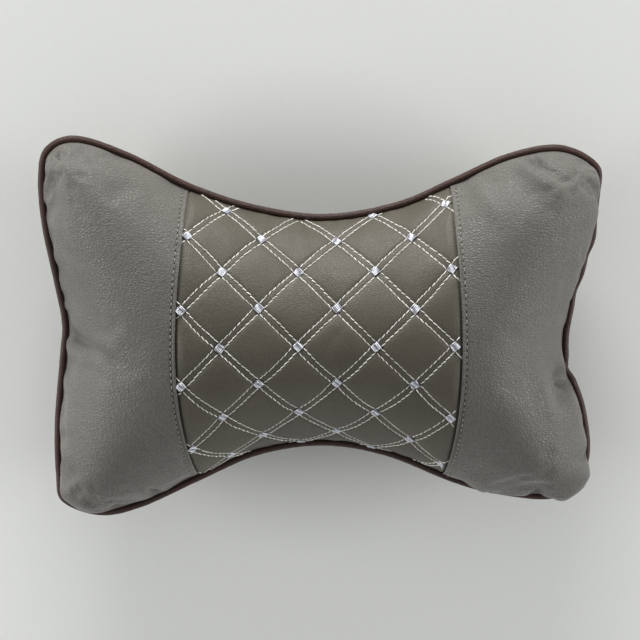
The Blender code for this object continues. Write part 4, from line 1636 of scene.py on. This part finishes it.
@dataclass
class Strap:
    """The elastic strap that goes round the headrest's posts, taut across the back."""

    back: BackPanel
    width: float = 0.025
    thickness: float = 0.0012
    wall: float = 0.0009
    middle: float = -0.008
    cords: int = 15
    rib: float = 0.00012
    sink: float = 0.0001
    margin: float = 0.002
    samples: int = 400
    smoothings: int = 30

    def build(self) -> None:
        """Makes the strap from a flat grid, laid along the back."""
        path = self.path()
        deselect()
        bpy.ops.mesh.primitive_grid_add(x_subdivisions=len(path) - 1, y_subdivisions=self.cords * 4, size=2)
        piece = active()
        piece.name = piece.data.name = "strap_webbing"
        out = turned(unit(np.gradient(path, axis=0)))
        for vertex in piece.data.vertices:
            k = min(int((vertex.co.x + 1) / 2 * (len(path) - 1) + 0.5), len(path) - 1)
            v = vertex.co.y
            rib = self.rib * abs(math.sin(math.pi * self.cords * (v + 1) / 2))
            x, z = path[k] + out[k] * (rib - self.sink)
            vertex.co = (x, self.middle + v * self.width / 2, z)
        edit_all(piece, bpy.ops.mesh.flip_normals)
        wall(piece, self.wall)
        piece.data.shade_smooth()
        dress(piece, "elastic_strap", [ELASTIC])

    def path(self) -> Array:
        """The strap's outer (x, z) line: the taut line over the back, moved out by its thickness.

        Returns:
            Its points, from the left end to the right.
        """
        points = self.back.points.reshape(-1, 3)
        near = np.abs(points[:, 1] - self.middle) < self.width / 2 + self.margin
        chain: list[tuple[float, float]] = []
        for point in sorted(map(tuple, points[near][:, [0, 2]])):
            while len(chain) > 1:
                (ax, az), (bx, bz) = chain[-2:]
                if (bx - ax) * (point[1] - az) - (bz - az) * (point[0] - ax) > 0:
                    break
                chain.pop()
            chain.append(point)
        hull = np.array(chain)
        top = self.back.form.seam_height - self.back.form.piping_radius * 0.8
        run = run_of(hull)
        line = read_off(np.linspace(0, run[-1], self.samples), run, hull)
        for _ in range(self.smoothings):
            line[1:-1] = (line[:-2] + 2 * line[1:-1] + line[2:]) / 4
        line = line[line[:, 1] < top]
        outer = line + turned(unit(np.gradient(line, axis=0))) * self.thickness
        outer[:, 1] = np.maximum(outer[:, 1], 0.0)
        return outer[::2]


@dataclass(frozen=True)
class Lamp:
    """A square soft light: its name, its place, the length of its sides, and its power in watts."""

    name: str
    place: tuple[float, float, float]
    size: float
    power: float


LAMPS = (
    Lamp("top", (-0.30, 3.20, 0.42), 1.3, 150.0),
    Lamp("left", (-1.40, 0.00, 0.38), 0.7, 13.0),
    Lamp("right", (1.40, 0.00, 0.38), 0.7, 12.5),
    Lamp("bottom", (0.00, -2.60, 0.40), 1.2, 8.0),
)


@dataclass
class Studio:
    """The floor, the lights and the camera."""

    tilt: float = 12.5
    distance: float = 3.0
    frame_width: float = 0.319
    sensor: float = 36.0
    sky: str = "f4f6f8"
    sky_strength: float = 0.345
    target: tuple[float, float, float] = (-0.0002, 0.0035, 0.0405)

    def build(self) -> None:
        """Sets up the studio."""
        self.floor()
        self.camera()
        self.lights()

    def floor(self) -> None:
        """Lays a wide sheet of paper under the pillow."""
        deselect()
        bpy.ops.mesh.primitive_plane_add(size=8, location=(0, 0, -0.0002))
        sheet = active()
        sheet.name = "studio_floor"
        bpy.ops.object.transform_apply(location=True)
        sheet.data.materials.append(PAPER.build())

    def camera(self) -> None:
        """Places the camera: nearly square on to the pillow, a little from its top edge."""
        tilt = math.radians(self.tilt)
        data = bpy.data.cameras.new("camera")
        data.sensor_width = self.sensor
        data.lens = self.sensor * self.distance / self.frame_width
        data.clip_start, data.clip_end = 0.05, 20
        eye = place_in_scene("camera", data)
        eye.location = Vector(self.target) + self.distance * Vector((0, math.sin(tilt), math.cos(tilt)))
        eye.rotation_euler = (-tilt, 0, 0)
        bpy.context.scene.camera = eye

    def lights(self) -> None:
        """Hangs a far low lamp beyond the top edge, one at each side, a weak one below, and a pale sky."""
        world = bpy.data.worlds.new("studio")
        bpy.context.scene.world = world
        world.use_nodes = True
        sky = world.node_tree.nodes["Background"].inputs
        sky["Color"].default_value, sky["Strength"].default_value = linear(self.sky), self.sky_strength
        for lamp in LAMPS:
            data = bpy.data.lights.new(lamp.name, "AREA")
            data.energy, data.size = lamp.power, lamp.size
            hung = place_in_scene(lamp.name, data)
            hung.location = lamp.place
            toward = Vector(self.target) - Vector(lamp.place)
            hung.rotation_euler = toward.to_track_quat("-Z", "Y").to_euler()


def main() -> None:
    """Builds the pillow's pieces in order, then the studio."""
    logging.basicConfig(level=logging.INFO, format="%(name)s: %(message)s")
    bpy.context.scene.view_settings.view_transform = "Standard"
    form = PillowForm()
    drape = CoverDrape(form)
    drape.run()
    log.info("draped the cover: waves up to %.1f mm", np.abs(drape.moves[Face.FRONT]).max() / MM)
    relief, maker = CoverRelief(form), StitchMaker()
    quilted, back = QuiltedPanel(form, relief, drape), BackPanel(form, relief, drape)
    quilted.build()
    for side in Side:
        panel = SidePanel(form, relief, drape, side)
        panel.build()
        Topstitching(panel, maker).build()
    back.build()
    Filling(form).build()
    Piping(form).build()
    Embroidery(quilted, maker).build()
    Strap(back).build()
    Studio().build()


if __name__ == "__main__":
    main()
